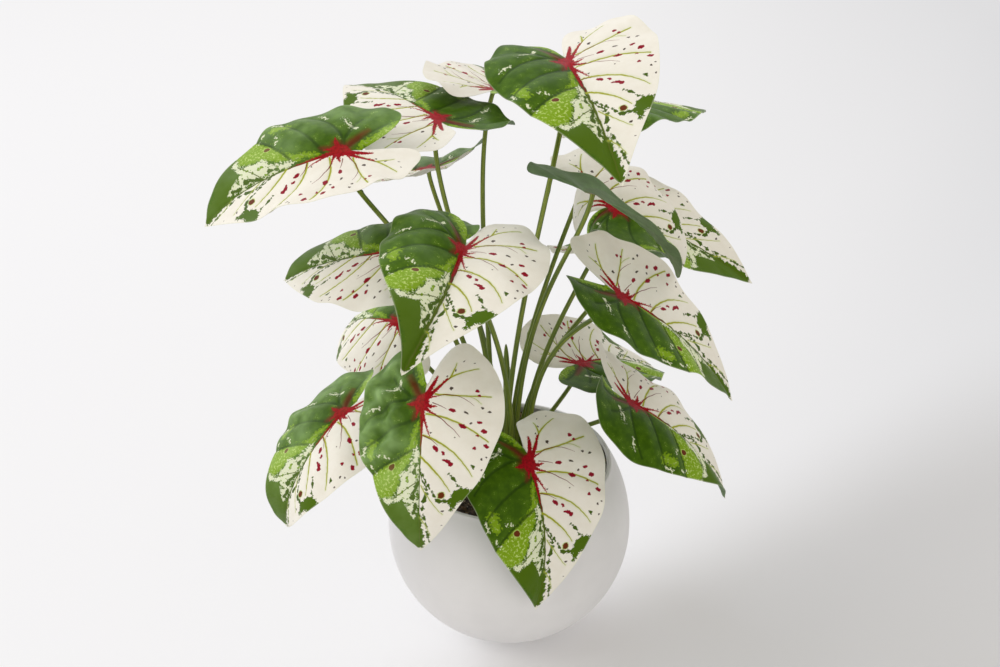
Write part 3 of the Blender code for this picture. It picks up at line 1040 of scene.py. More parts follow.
POSES: tuple[LeafPose, ...] = (
    LeafPose(
        "crown_right", (37.4, -45, 502.5), (-3, -6),
        -74.5, 5.6, -4.7, 1, 24.6, 26.4, (22.3, 20.1), (43.9, 6), 0.038, 0.4, 50, painted_sheen=0.03,
    ),
    LeafPose(
        "upper_left", (-53.5, 25, 435.1), (-10, -1),
        125.8, -8.8, -4.1, 1.02, 26.1, -31, (1.1, -5.4), (10.2, 18.9), -0.013, 0.5, 60,
    ),
    LeafPose(
        "high_far_left", (-114.2, -50, 440.7), (-19, 3),
        199.5, 3.2, 23.6, 1, 70.2, -3, (8.8, 6.8), (46.6, -28.4), 0.128, 0.6, 50, painted_sheen=0.3,
    ),
    LeafPose(
        "crown_back", (-11.9, 90, 433.9), (-13, 6),
        77.3, 9.1, -15.9, 1, 17.7, 4.2, (44.2, 2.5), (24.5, 9.6), 0.144, 0.4, 60, painted_sheen=0.1,
    ),
    LeafPose(
        "high_back_right", (80.2, 132, 408.9), (1, 10),
        41.5, 13.4, 6.1, 1.07, 10.5, 93.5, (2.7, 3.4), (18.1, 57.9), -0.035, 0.5, 50, painted_sheen=0.12,
    ),
    LeafPose(
        "high_right", (56.4, -50, 411.6), (5, 0),
        -25.5, 14.4, -16.6, 0.86, 87.8, 16.5, (46.2, 12.8), (-15.2, 45.8), -0.204, 0.6, 60, painted_sheen=0.0,
    ),
    LeafPose(
        "outer_right", (80.2, 40, 356.6), (11, 5),
        -13.4, 13.7, 10.2, 0.97, 22.5, 134.4, (-29.6, 27.9), (-46.2, 15.8), -0.019, 0.5, 50, painted_sheen=0.1,
    ),
    LeafPose(
        "middle_right", (77.5, -78, 345.8), (14, -4),
        -2.3, 28.1, -6, 0.99, 36.9, -9.1, (9.1, 7.6), (16.2, -5.2), 0.004, 0.7, 30, painted_sheen=0.0,
    ),
    LeafPose(
        "low_back_right", (59.4, 60, 206.7), (18, 8),
        45.8, 11.2, -6.7, 1, 35.1, -0.3, (6.1, 10.6), (-1.2, -9.2), 0.074, 0.6, 30,
    ),
    LeafPose(
        "low_right", (93.1, -40, 232.4), (20, -9),
        0.9, 29, -1.4, 1, 42.3, -38.9, (13.1, 20.3), (54.7, 43.2), -0.005, 0.5, 20, painted_sheen=0.0,
    ),
    LeafPose(
        "front_centre", (15.2, -80, 206.2), (10, -17),
        -62.9, 45.3, 5.8, 1, 58.6, 79, (3.1, 8.9), (5.3, 1.3), 0.047, 0.5, 20, painted_sheen=0.0,
    ),
    LeafPose(
        "front_left", (-60.4, -108, 278), (-14, -16),
        -96.1, 35.7, -11.3, 0.99, 80.1, 17.2, (-5.9, -0.8), (22.9, 21.1), 0.134, 0.6, 40,
        crumple=3.0, painted_sheen=0.42,
    ),
    LeafPose(
        "low_left", (-124.6, -50, 229.7), (-19, -12),
        -133.4, 16.6, -0.7, 1, 98.9, 6.6, (1.6, 23.8), (40.4, 41), 0.243, 0.5, 40, painted_sheen=0.42,
    ),
    LeafPose(
        "low_back_left", (-90.6, 50, 249.8), (-20, 12),
        143.3, 2.6, 15.7, 1, 73.7, 28.6, (5.3, -15.6), (71.2, 34.5), 0.098, 0.5, 40, painted_sheen=0.35,
    ),
    LeafPose(
        "centre", (-30.7, -120, 402.2), (3, -13),
        -98.7, 1.3, 37, 1, 23.4, 27, (17.7, 54.1), (87.1, 41.1), 0.009, 0.5, 40, painted_sheen=0.12, swing=30,
    ),
    LeafPose(
        "middle_left", (-71.9, -95, 389), (-22, -4),
        163.5, 10.8, 15.4, 0.98, 40.6, 15.8, (22.5, 5), (79.9, 8.5), 0.165, 0.5, 40, painted_sheen=0.27,
    ),
    LeafPose(
        "high_back_left", (-64.8, 100, 363.6), (-6, 12),
        166.6, 13.2, -16.4, 0.98, 4.5, -25.2, (13, -5.6), (13.6, -10.4), 0.04, 0.5, 30, painted_sheen=0.2,
    ),
    LeafPose(
        "back_right", (89, 90, 295.4), (8, 13),
        118.8, 16.8, -9.2, 0.9, 14, 14, (7, 6), (10, 10), 0.03, 0.7, 40,
    ),
)


# Sizes that the blades and stalks share with their solids.
LEAF_LENGTH = 124 * MM
SIDE_SHARE = 0.44
LOBE_SHARE = 0.36
FLAT_CENTRE = 0.05
SOIL_TOP = 145 * MM
COLLAR = 3 * MM


def arc(turn: Array, distance: Array) -> tuple[Array, Array]:
    """How far along and how far up an arc leads that turns by an angle over each unit of distance."""
    turn = np.where(np.abs(turn) < 1e-6, 1e-6, turn)
    return np.sin(turn * distance) / turn, (1 - np.cos(turn * distance)) / turn


@dataclass
class Blade:
    """One leaf blade: a thin closed sheet with sunk veins on top and raised ones underneath.

    groove and ridge: how deep the veins are sunk on top and how far they stand out below. pillow:
    how far the blade swells between them. The reaches are half widths of those bell curves, as
    shares of the blade's length. point, cleft and cleft_width shape the heart: how wide its point
    is in degrees, how deep its cleft is as a share, and how wide in degrees.
    """

    pose: LeafPose
    print_: LeafPrint
    rings: int = 30
    spokes: int = 168
    thickness: float = 0.55 * MM
    groove: float = 0.75 * MM
    ridge: float = 0.5 * MM
    pillow: float = 1.3 * MM
    groove_reach: float = 0.012
    ridge_reach: float = 0.009
    swell_reach: float = 0.055
    point: float = 25.0
    cleft: float = 0.75
    cleft_width: float = 14.0

    def edge(self, angle: Array) -> Array:
        """Distance from joint to edge, as a share of the length.

        A round heart: a level part plus a part that falls off fast from the tip, less a cleft
        behind the joint, with a slight wave.

        Args:
            angle: Degrees from the tip.

        Returns:
            The distances.
        """
        away = np.abs(angle)
        heart = SIDE_SHARE + (1 - SIDE_SHARE) * np.exp(-((away / self.point) ** 0.9))
        cleft = 1 - self.cleft * np.exp(-(((180 - away) / self.cleft_width) ** 2))
        wave = 1 + 0.008 * np.sin(np.radians(angle) * 9 + 1.0) * smooth_step(8, 40, away)
        return heart * cleft * wave

    def axes(self) -> Array:
        """The blade's own axes, from its heading, dip and roll.

        Returns:
            Rows: towards the green side, towards the tip, and out of the upper face.
        """
        heading, dip, roll = np.radians((self.pose.heading, self.pose.dip, self.pose.roll))
        tip = np.array([np.cos(heading) * np.cos(dip), np.sin(heading) * np.cos(dip), -np.sin(dip)])
        face = np.array([np.cos(heading) * np.sin(dip), np.sin(heading) * np.sin(dip), np.cos(dip)])
        side = np.cross(tip, face)
        green = side * np.cos(roll) + face * np.sin(roll)
        return np.array([green, tip, face * np.cos(roll) - side * np.sin(roll)])

    def smooth_sheet(self, across: Array, along: Array) -> Array:
        """The middle of the sheet with no relief.

        The midrib is an arc that turns down by the droop. Each side leaves it at its lift and arches
        down by its curl, over half the leaf's width, and is flat next to the joint.

        Args:
            across: Places across the blade.
            along: Places along it.

        Returns:
            The points, in metres.
        """
        pose = self.pose
        green = across > 0
        lift = np.radians(np.where(green, *pose.lift))
        curl = np.radians(np.where(green, *pose.curl)) / SIDE_SHARE
        curl = np.where(np.abs(curl) < 1e-6, 1e-6, curl)
        width = np.abs(across)
        out = (np.sin(curl * width - lift) + np.sin(lift)) / curl
        up = (np.cos(curl * width - lift) - np.cos(lift)) / curl
        nearness = across**2 + along**2
        up = up * nearness / (nearness + FLAT_CENTRE**2)
        bend = np.radians(np.where(along > 0, pose.droop, pose.tuck / LOBE_SHARE))
        forward, fall = arc(bend, along)
        x = np.sign(across) * out + pose.sweep * np.maximum(along, 0) ** 2
        y = forward + up * np.sin(bend * along)
        z = -fall + up * np.cos(bend * along)
        local = np.stack([x, y, z], axis=-1) * LEAF_LENGTH * pose.size
        return local @ self.axes() + np.array(pose.joint) * MM

    def normals(self, across: Array, along: Array) -> Array:
        """Upward normals of the sheet: the cross product of a small step each way.

        Args:
            across: Places across the blade.
            along: Places along it.

        Returns:
            The normals.
        """
        step = 0.004
        right = self.smooth_sheet(across + step, along) - self.smooth_sheet(across - step, along)
        ahead = self.smooth_sheet(across, along + step) - self.smooth_sheet(across, along - step)
        return unit(np.cross(right, ahead))

    def relief(self, across: Array, along: Array, outward: Array) -> Array:
        """Height of the upper face over the sheet.

        Veins are bell-shaped grooves, and the blade swells between them. The edge waves as a sine of
        its angle, and the green half may be folded as well, by sines along slanted lines.

        Args:
            across: Places across the blade.
            along: Places along it.
            outward: Share of the way from the joint to the edge.

        Returns:
            The heights, in metres.
        """
        seed = name_seed(self.pose.name)
        from_joint = np.hypot(across, along)
        grooves = self.print_.vein_groove(across, along, self.groove_reach)
        grooves *= smooth_step(0.02, 0.07, from_joint)
        swell = 0.5 - np.minimum(self.print_.vein_groove(across, along, self.swell_reach), 1)
        pillow = self.pillow * smooth_step(0.05, 0.22, from_joint) * np.where(across > 0, 1.0, 0.55)
        angle = np.arctan2(across, along)
        waves = np.sin(7 * angle + seed) + 0.6 * np.sin(12 * angle + 2.3 * seed)
        slant = 26 * across + 9 * along + 3 * np.sin(9 * along + 1)
        folds = np.sin(slant) + 0.7 * np.sin(34 * along - 17 * across + 2)
        folds *= smooth_step(0.03, 0.2, across) * smooth_step(0.62, 0.35, along) * (1 - outward**4)
        raised = self.pose.ripple * waves * outward**3 + self.pose.crumple * folds
        return pillow * swell - self.groove * grooves + raised * MM

    def spots(self) -> tuple[Array, Array, Array]:
        """Places on the flat blade, ring by ring out from the joint, with the joint itself last.

        Spokes are closest together towards the tip, and rings towards the edge.

        Returns:
            Places across and along, and the share of the way to the edge.
        """
        spokes = np.arange(self.spokes) * 2 / self.spokes - 1
        angles = 180 * np.sign(spokes) * np.abs(spokes) ** 1.35
        turn, edge = np.radians(angles), self.edge(angles)
        share = (np.arange(1, self.rings + 1) / self.rings) ** 0.85
        across = np.append(np.outer(share, edge * np.sin(turn)), 0.0)
        along = np.append(np.outer(share, edge * np.cos(turn)), 0.0)
        return across, along, np.append(np.repeat(share, self.spokes), 0.0)

    def faces(self, count: int) -> tuple[list[Array], list[Array]]:
        """The faces of both sides.

        Args:
            count: Number of vertices of the upper side, after which the lower side's follow.

        Returns:
            Blocks of faces of the upper side and the rim, then of the lower side.
        """
        around = grid_faces(self.rings, self.spokes)
        fan = fan_faces(count - 1, np.arange(self.spokes))
        ring = np.arange(self.spokes) + (self.rings - 1) * self.spokes
        after = np.roll(ring, -1)
        rim = np.stack([ring + count, after + count, after, ring], axis=-1)
        return [around[:, ::-1], fan[:, ::-1], rim], [around + count, fan + count]

    def build(self, materials: Sequence[bpy.types.Material]) -> bpy.types.Object:
        """Builds the sheet as spokes and rings round the joint, on both sides, joined at the rim.

        Args:
            materials: Those of the green and the white half above, then below.

        Returns:
            The blade.
        """
        across, along, outward = self.spots()
        normals = self.normals(across, along)
        height = self.relief(across, along, outward)
        top = self.smooth_sheet(across, along) + normals * height[:, None]
        veins = self.print_.vein_groove(across, along, self.ridge_reach)
        thick = self.thickness * (1 - 0.55 * outward**6) + self.ridge * veins * (1 - outward**6)
        points = np.vstack([top, top - normals * thick[:, None]])
        upper, lower = self.faces(len(top))
        blade = add_mesh(f"leaf_{self.pose.name}_blade", points, [*upper, *lower], 70)
        stored = {
            "leaf_place": (across, along, outward),
            "leaf_zones": [self.print_.zone_distance(zone, across, along) for zone in Zone],
            # The third part is how much painted sheen lies on the green half.
            "leaf_relief": (veins, height, np.full_like(height, self.pose.painted_sheen)),
        }
        for name, parts in stored.items():
            keep_vectors(blade.data, name, [np.tile(part, 2) for part in parts])
        dress(blade, "leaf_print", *materials)
        white = [across[block % len(top)].mean(axis=1) < 0 for block in (*upper, *lower)]
        below = np.repeat([0, 2], [sum(map(len, upper)), sum(map(len, lower))])
        blade.data.polygons.foreach_set("material_index", (np.concatenate(white) + below).astype(np.int32))
        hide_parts(f"leaf_{self.pose.name}")
        return blade


@dataclass
class Stalk:
    """One stalk: a tapered tube with a few small moulding nubs, flared where it meets the leaf."""

    blade: Blade
    base_radius: float = 2.0 * MM
    top_radius: float = 1.65 * MM
    flare: float = 0.9 * MM
    flare_length: float = 2.2 * MM
    nubs: int = 3
    nub_height: float = 0.7 * MM
    nub_width: float = 1.4 * MM
    rings: int = 90
    sides: int = 14

    def path(self) -> Array:
        """The stalk's middle line: straight out of its socket, a cubic curve, a straight end.

        The curve goes up from the root, leans over, and reaches the leaf along its normal.

        Returns:
            The points, in metres, from the soil up.
        """
        pose = self.blade.pose
        face = self.blade.axes()[2]
        x, y = np.array(pose.root) * MM
        root = np.array([x, y, SOIL_TOP + COLLAR])
        top = np.array(pose.joint) * MM - face * 0.4 * MM
        end = top - face * COLLAR
        steep = root + np.array([0, 0, pose.rise * (end[2] - root[2])])
        bent = end - face * pose.neck * MM + np.array([pose.swing * MM, 0, 0])
        t = np.linspace(0, 1, self.rings - 4)[:, None]
        curve = root * (1 - t) ** 3 + steep * 3 * (1 - t) ** 2 * t + bent * 3 * (1 - t) * t**2 + end * t**3
        foot = np.array([[x, y, SOIL_TOP - 6 * MM], [x, y, SOIL_TOP - 1 * MM]])
        return np.vstack([foot, curve, (end + top) / 2, top])

    def radius(self, height: Array, turn: Array) -> Array:
        """The tube's radius: tapered, slightly oval, flared at the top, with bell-shaped nubs.

        Args:
            height: Length of the path up to each ring.
            turn: The turn of each vertex of a ring.

        Returns:
            One radius for each ring and turn.
        """
        radius = self.base_radius + (self.top_radius - self.base_radius) * height / height[-1]
        radius += self.flare * np.exp(-(((height[-1] - height) / self.flare_length) ** 2))
        radius = radius[:, None] * (1 + 0.05 * np.cos(2 * turn))
        chance = np.random.default_rng(name_seed(self.blade.pose.name))
        for _ in range(self.nubs):
            place, way = chance.uniform(0.2, 0.95) * height[-1], chance.uniform(0, 2 * np.pi)
            bell = np.exp(-(((height - place) / self.nub_width) ** 2))[:, None]
            radius += self.nub_height * bell * np.maximum(np.cos(turn - way), 0) ** 4
        return radius

    def build(self, material: bpy.types.Material) -> bpy.types.Object:
        """Builds the tube from rings square to its path.

        Args:
            material: The stalk's material.

        Returns:
            The stalk.
        """
        path = self.path()
        tangent = unit(np.gradient(path, axis=0))
        height = np.append(0.0, np.cumsum(np.linalg.norm(np.diff(path, axis=0), axis=1)))
        reference = np.array([0.0, 1.0, 0.0]) if abs(tangent[:, 1]).max() < 0.9 else np.array([1.0, 0.0, 0.0])
        side = unit(np.cross(tangent, reference))
        front = np.cross(tangent, side)
        turn = circle(self.sides)
        ring = side[:, None, :] * np.cos(turn)[:, None] + front[:, None, :] * np.sin(turn)[:, None]
        points, faces = closed_tube(path[:, None, :] + ring * self.radius(height, turn)[..., None])
        stalk = add_mesh(f"stalk_{self.blade.pose.name}_tube", points, faces)
        keep_stalk_place(stalk.data, turn, height)
        dress(stalk, "stalk_green", material)
        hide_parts(f"stalk_{self.blade.pose.name}")
        return stalk


@dataclass(frozen=True)
class LeafFinish:
    """Leaf materials: the printed face for each half, and the paler underside for each half."""

    print_: LeafPrint
    green_bumps: Point2 = (0.35, 0.4 * MM)
    white_bumps: Point2 = (0.22, 0.4 * MM)
    back_bumps: Point2 = (0.3, 0.3 * MM)
    shine: float = 0.05

    def materials(self) -> list[bpy.types.Material]:
        """The faces of the green and the white half, then their undersides."""
        underside = self.underside()
        return [self.face(half) for half in Half] + [self.back(half, underside) for half in Half]

    def painted_sheen(self, wiring: Wiring, place: Socket, colour: Socket) -> Socket:
        """Painted sheen, a pale tint standing in for reflected light: in clouds, most on raised folds,
        and little at the joint and near the tip.

        Args:
            wiring: The material's wiring.
            place: The place on the leaf.
            colour: The colour below.

        Returns:
            The colour with the painted sheen screened over it.
        """
        _, raised, amount = wiring.parts(wiring.attribute("leaf_relief"))
        flat = wiring.flat(place)
        cloud = wiring.span(wiring.noise(flat, 9), 0.35, 0.65, 0.55, 1.4)
        away = wiring.span(wiring.vector("LENGTH", flat), 0.14, 0.28, 0.1, 1.0)
        back = wiring.span(wiring.parts(flat)[1], 0.34, 0.56, 1.0, 0.3)
        # The painted sheen is strongest on raised folds, where the highlight would fall.
        fold = wiring.span(raised, -2.5 * MM, 2.5 * MM, 0.45, 1.5)
        share = wiring.product(amount, cloud, away, back, fold)
        return wiring.over(share, colour, self.print_.inks.painted_sheen, "SCREEN")

    def face(self, half: Half) -> bpy.types.Material:
        """The printed upper face, with painted sheen on the green half and a fine grain.

        Args:
            half: Which half of the blade it is for.

        Returns:
            The material.
        """
        material, wiring, shader = new_material(f"leaf_face_{half.value}")
        place = wiring.attribute("leaf_place")
        inputs = {"Place": place, "Zones": wiring.attribute("leaf_zones")}
        colour, rough, height = self.print_.build(half).placed(wiring, inputs)
        # Painted sheen, standing in for reflected light, over the green half.
        if half is Half.GREEN:
            colour = self.painted_sheen(wiring, place, colour)
        bumps = self.green_bumps if half is Half.GREEN else self.white_bumps
        wiring.cover(shader, colour, rough, height, bumps)
        shader.inputs["Specular IOR Level"].default_value = self.shine
        return material

    def underside(self) -> SharedEffect:
        """The underside's effect: mottled, tinted round the joint, with paler veins.

        Returns:
            The node group.
        """
        takes = {"Place": "Vector", "Veins": "Float", "Dark": "Color", "Main": "Color", "Pale": "Color"}
        effect = SharedEffect("leaf_underside", {**takes, "Joint": "Color"}, SURFACE)
        wiring, taken = effect.wiring, effect.taken
        flat = wiring.flat(taken["Place"])
        mottle = wiring.noise(flat, 18, 4.0, 0.6)
        grain = wiring.noise(flat, 150, 3.0, 0.6)
        colour = wiring.over(wiring.step(mottle, 0.3, 0.75), taken["Dark"], taken["Main"])
        near = wiring.math("MULTIPLY_ADD", mottle, 0.09, wiring.vector("LENGTH", flat))
        colour = wiring.over(wiring.step(near, 0.17, 0.06, 0.8), colour, taken["Joint"])
        colour = wiring.over(wiring.product(taken["Veins"], 0.6), colour, taken["Pale"])
        effect.give(colour, wiring.span(grain, 0.3, 0.7, 0.50, 0.66), grain)
        return effect

    def back(self, half: Half, underside: SharedEffect) -> bpy.types.Material:
        """The underside of one half, dull grey-green or cream.

        Args:
            half: Which half of the blade it is for.
            underside: The underside's effect.

        Returns:
            The material.
        """
        inks = self.print_.inks
        main = inks.back_green if half is Half.GREEN else inks.back_white
        material, wiring, shader = new_material(f"leaf_back_{half.value}")
        place = wiring.attribute("leaf_place")
        veins = wiring.parts(wiring.attribute("leaf_relief"))[0]
        dark = tuple(part * 0.72 for part in main)
        pale = tuple(min(part * 1.35, 1.0) for part in main)
        inputs = {"Place": place, "Veins": veins, "Dark": dark, "Main": main, "Pale": pale}
        surface = underside.placed(wiring, {**inputs, "Joint": inks.back_pink})
        wiring.cover(shader, *surface, self.back_bumps)
        return material


def long_streaks() -> SharedEffect:
    """The effect of moulded stalks: long streaks of two greens, warm flecks, a stain at the foot.

    Returns:
        The node group.
    """
    takes = {"Place": "Vector", "Light": "Color", "Dark": "Color", "Stain": "Color"}
    effect = SharedEffect("long_streaks", takes, SURFACE)
    wiring, taken = effect.wiring, effect.taken
    streak = wiring.noise(wiring.vector("MULTIPLY", taken["Place"], (1.6, 1.6, 14)), 1.2, 4.0, 0.6)
    fleck = wiring.noise(wiring.vector("MULTIPLY", taken["Place"], (1, 1, 120)), 1.4, 3.0)
    height = wiring.parts(taken["Place"])[2]
    colour = wiring.over(wiring.step(streak, 0.35, 0.68), taken["Dark"], taken["Light"])
    colour = wiring.over(wiring.step(fleck, 0.64, 0.72, 0.35), colour, taken["Stain"])
    foot = wiring.step(wiring.sway(streak, 0.03, height), 0.020, 0.004, 0.5)
    colour = wiring.over(foot, colour, taken["Stain"])
    effect.give(colour, wiring.span(streak, 0.3, 0.7, 0.42, 0.56), fleck)
    return effect


# The young shoot's own greens.
SHOOT_LIGHT = paint(140, 156, 62)
SHOOT_DARK = paint(96, 120, 38)


@dataclass(frozen=True)
class StalkFinish:
    """Olive-green moulded plastic, streaked along its length and darker near the soil."""

    streaks: SharedEffect
    light: Colour = paint(146, 160, 58)
    dark: Colour = paint(84, 106, 24)
    stain: Colour = paint(74, 58, 30)
    bumps: Point2 = (0.3, 0.3 * MM)

    def material(self, name: str) -> bpy.types.Material:
        """The streaks in this finish's own greens.

        Args:
            name: The material's name.

        Returns:
            The material.
        """
        material, wiring, shader = new_material(name)
        inputs = {"Place": wiring.attribute("stalk_place"), "Light": self.light, "Dark": self.dark}
        surface = self.streaks.placed(wiring, {**inputs, "Stain": self.stain})
        wiring.cover(shader, *surface, self.bumps)
        return material


@dataclass(frozen=True)
class PotFinish:
    """Matt white moulded pot: faint clouding, a fine orange-peel skin, and darker warm grey towards the foot.
    """

    white: Colour = paint(239, 238, 239)
    shade: Colour = paint(232, 231, 232)
    # The warm grey that the colour darkens to towards the foot.
    foot_grey: Colour = paint(196, 190, 178)
    bumps: Point2 = (0.12, 0.2 * MM)

    def material(self) -> bpy.types.Material:
        """Clouds of two whites, a few faint scuffs, and a warm grey that darkens the colour towards the foot.

        Returns:
            The material.
        """
        material, wiring, shader = new_material("pot_white")
        place = wiring.place()
        cloud = wiring.noise(place, 16, 3.0, 0.55)
        skin = wiring.noise(place, 900)
        scuff = wiring.noise(wiring.vector("MULTIPLY", place, (60, 60, 400)), 1.0, 3.0)
        colour = wiring.over(wiring.step(cloud, 0.3, 0.7), self.shade, self.white)
        colour = wiring.over(wiring.step(scuff, 0.70, 0.78, 0.25), colour, self.shade)
        # Darker and warmer towards the foot.
        low = wiring.sway(cloud, 0.012, wiring.parts(place)[2])
        colour = wiring.over(wiring.step(low, 0.012, 0.0, 0.5), colour, self.foot_grey)
        wiring.cover(shader, colour, wiring.span(cloud, 0.3, 0.7, 0.52, 0.62), skin, self.bumps)
        return material


@dataclass(frozen=True)
class SoilFinish:
    """Dark crumbly soil, and stones whose colour goes by a number that each one carries."""

    earth: Colour = paint(44, 33, 25)
    crumb: Colour = paint(86, 66, 48)
    stone_dark: Colour = paint(62, 48, 38)
    stone_brown: Colour = paint(126, 98, 72)
    stone_grey: Colour = paint(156, 148, 136)
    bumps: Point2 = (0.6, 0.5 * MM)

    def mottling(self) -> SharedEffect:
        """The effect of earth on what lies in the pot: specks of one colour, in patches, over another.

        Returns:
            The node group.
        """
        takes = {"Place": "Vector", "Below": "Color", "Specks": "Color", "Patches": "Color"}
        takes |= {"From": "Float", "To": "Float", "Most": "Float"}
        effect = SharedEffect("earth_mottling", takes, SURFACE)
        wiring, taken = effect.wiring, effect.taken
        mottle = wiring.noise(taken["Place"], 320, 4.0, 0.65)
        broad = wiring.noise(taken["Place"], 70)
        specks = wiring.step(mottle, taken["From"], taken["To"], taken["Most"])
        colour = wiring.over(specks, taken["Below"], taken["Specks"])
        colour = wiring.over(wiring.step(broad, 0.55, 0.8, 0.4), colour, taken["Patches"])
        effect.give(colour, wiring.span(mottle, 0.3, 0.7, 0.96, 0.78), mottle)
        return effect

    def material(self, name: str, mottling: SharedEffect, stones: bool) -> bpy.types.Material:
        """Earth with paler crumbs, or stones from dark through brown to grey with earth on them.

        Args:
            name: The material's name.
            mottling: The effect of earth.
            stones: True for the stones, False for the soil.

        Returns:
            The material.
        """
        material, wiring, shader = new_material(name)
        inputs = {"Place": wiring.place(), "Below": self.earth, "Specks": self.crumb}
        inputs |= {"Patches": self.earth, "From": 0.42, "To": 0.66, "Most": 1.0}
        if stones:
            tone = wiring.attribute("stone_tone", "Fac")
            stone = wiring.over(wiring.step(tone, 0.1, 0.55), self.stone_dark, self.stone_brown)
            stone = wiring.over(wiring.step(tone, 0.6, 0.95), stone, self.stone_grey)
            inputs |= {"Below": stone, "Specks": self.earth, "From": 0.5, "To": 0.72, "Most": 0.55}
        wiring.cover(shader, *mottling.placed(wiring, inputs), self.bumps)
        return material


@dataclass
class Pot:
    """The ball-shaped pot: a turned wall with a small flat foot and a rounded lip."""

    radius: float = 100 * MM
    widest: float = 89 * MM
    top: float = 152.5 * MM
    mouth: float = 82 * MM
    foot: float = 43.5 * MM
    foot_edge: float = 3 * MM
    hollow: float = 0.6 * MM
    wall: float = 3.6 * MM
    floor: float = 6 * MM
    segments: int = 192
    finish: PotFinish = field(default_factory=PotFinish)

    def reach(self, height: Array | float, inset: float = 0.0) -> Array:
        """Radius at a height: a circle below the widest place, an ellipse above it.

        Args:
            height: The height over the foot.
            inset: How far inside the outer face it is.

        Returns:
            The radius.
        """
        above = np.asarray(height) - self.widest
        tall = (self.top - self.widest) / math.sqrt(1 - (self.mouth / self.radius) ** 2)
        share = np.where(above > 0, above / (tall - inset), above / (self.radius - inset))
        return (self.radius - inset) * np.sqrt(np.maximum(1 - share**2, 0))

    def profile(self) -> Array:
        """The half section: foot, outside, lip as a half circle, inside, floor.

        Returns:
            Rows of radius and height.
        """
        lip, centre = self.wall / 2, 0.02 * MM
        quarter = np.linspace(0, np.pi / 2, 44)
        outside = self.foot_edge + (self.widest - self.foot_edge) * (1 - np.cos(quarter))
        outside = np.append(outside, np.linspace(self.widest, self.top - lip, 22)[1:])
        turn = np.radians(np.linspace(0, 180, 11))[1:-1]
        lip_radius = self.reach(self.top - lip) - lip
        inside = np.linspace(self.top - lip, self.widest, 20)
        inside = np.append(inside, self.floor + (self.widest - self.floor) * np.cos(quarter[1:]))
        rounding = (self.foot + float(self.reach(self.foot_edge))) / 2 + 0.2 * MM
        foot = [(centre, self.hollow), (self.foot * 0.5, self.hollow), (self.foot - 3 * MM, self.hollow)]
        foot += [(self.foot - 1.5 * MM, 0.0), (self.foot - 0.4 * MM, 0.0), (self.foot + 0.2 * MM, 0.4 * MM)]
        rows = [
            np.array([*foot, (rounding, 1.6 * MM)]),
            np.stack([self.reach(outside), outside], axis=-1),
            np.stack([lip_radius + lip * np.cos(turn), self.top - lip + lip * np.sin(turn)], axis=-1),
            np.stack([self.reach(inside, self.wall), inside], axis=-1),
            np.array([(self.foot * 0.5, self.floor), (centre, self.floor)]),
        ]
        return np.vstack(rows)

    def build(self) -> bpy.types.Object:
        """Carries the half section round the axis.

        Returns:
            The pot.
        """
        radius, height = self.profile().T[..., None]
        turn = circle(self.segments)
        rings = np.broadcast_arrays(radius * np.cos(turn), radius * np.sin(turn), height)
        points, faces = closed_tube(np.stack(rings, axis=-1))
        pot = add_mesh("pot_shell", points, faces, 50)
        dress(pot, "pot_white", self.finish.material())
        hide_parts("pot")
        return pot


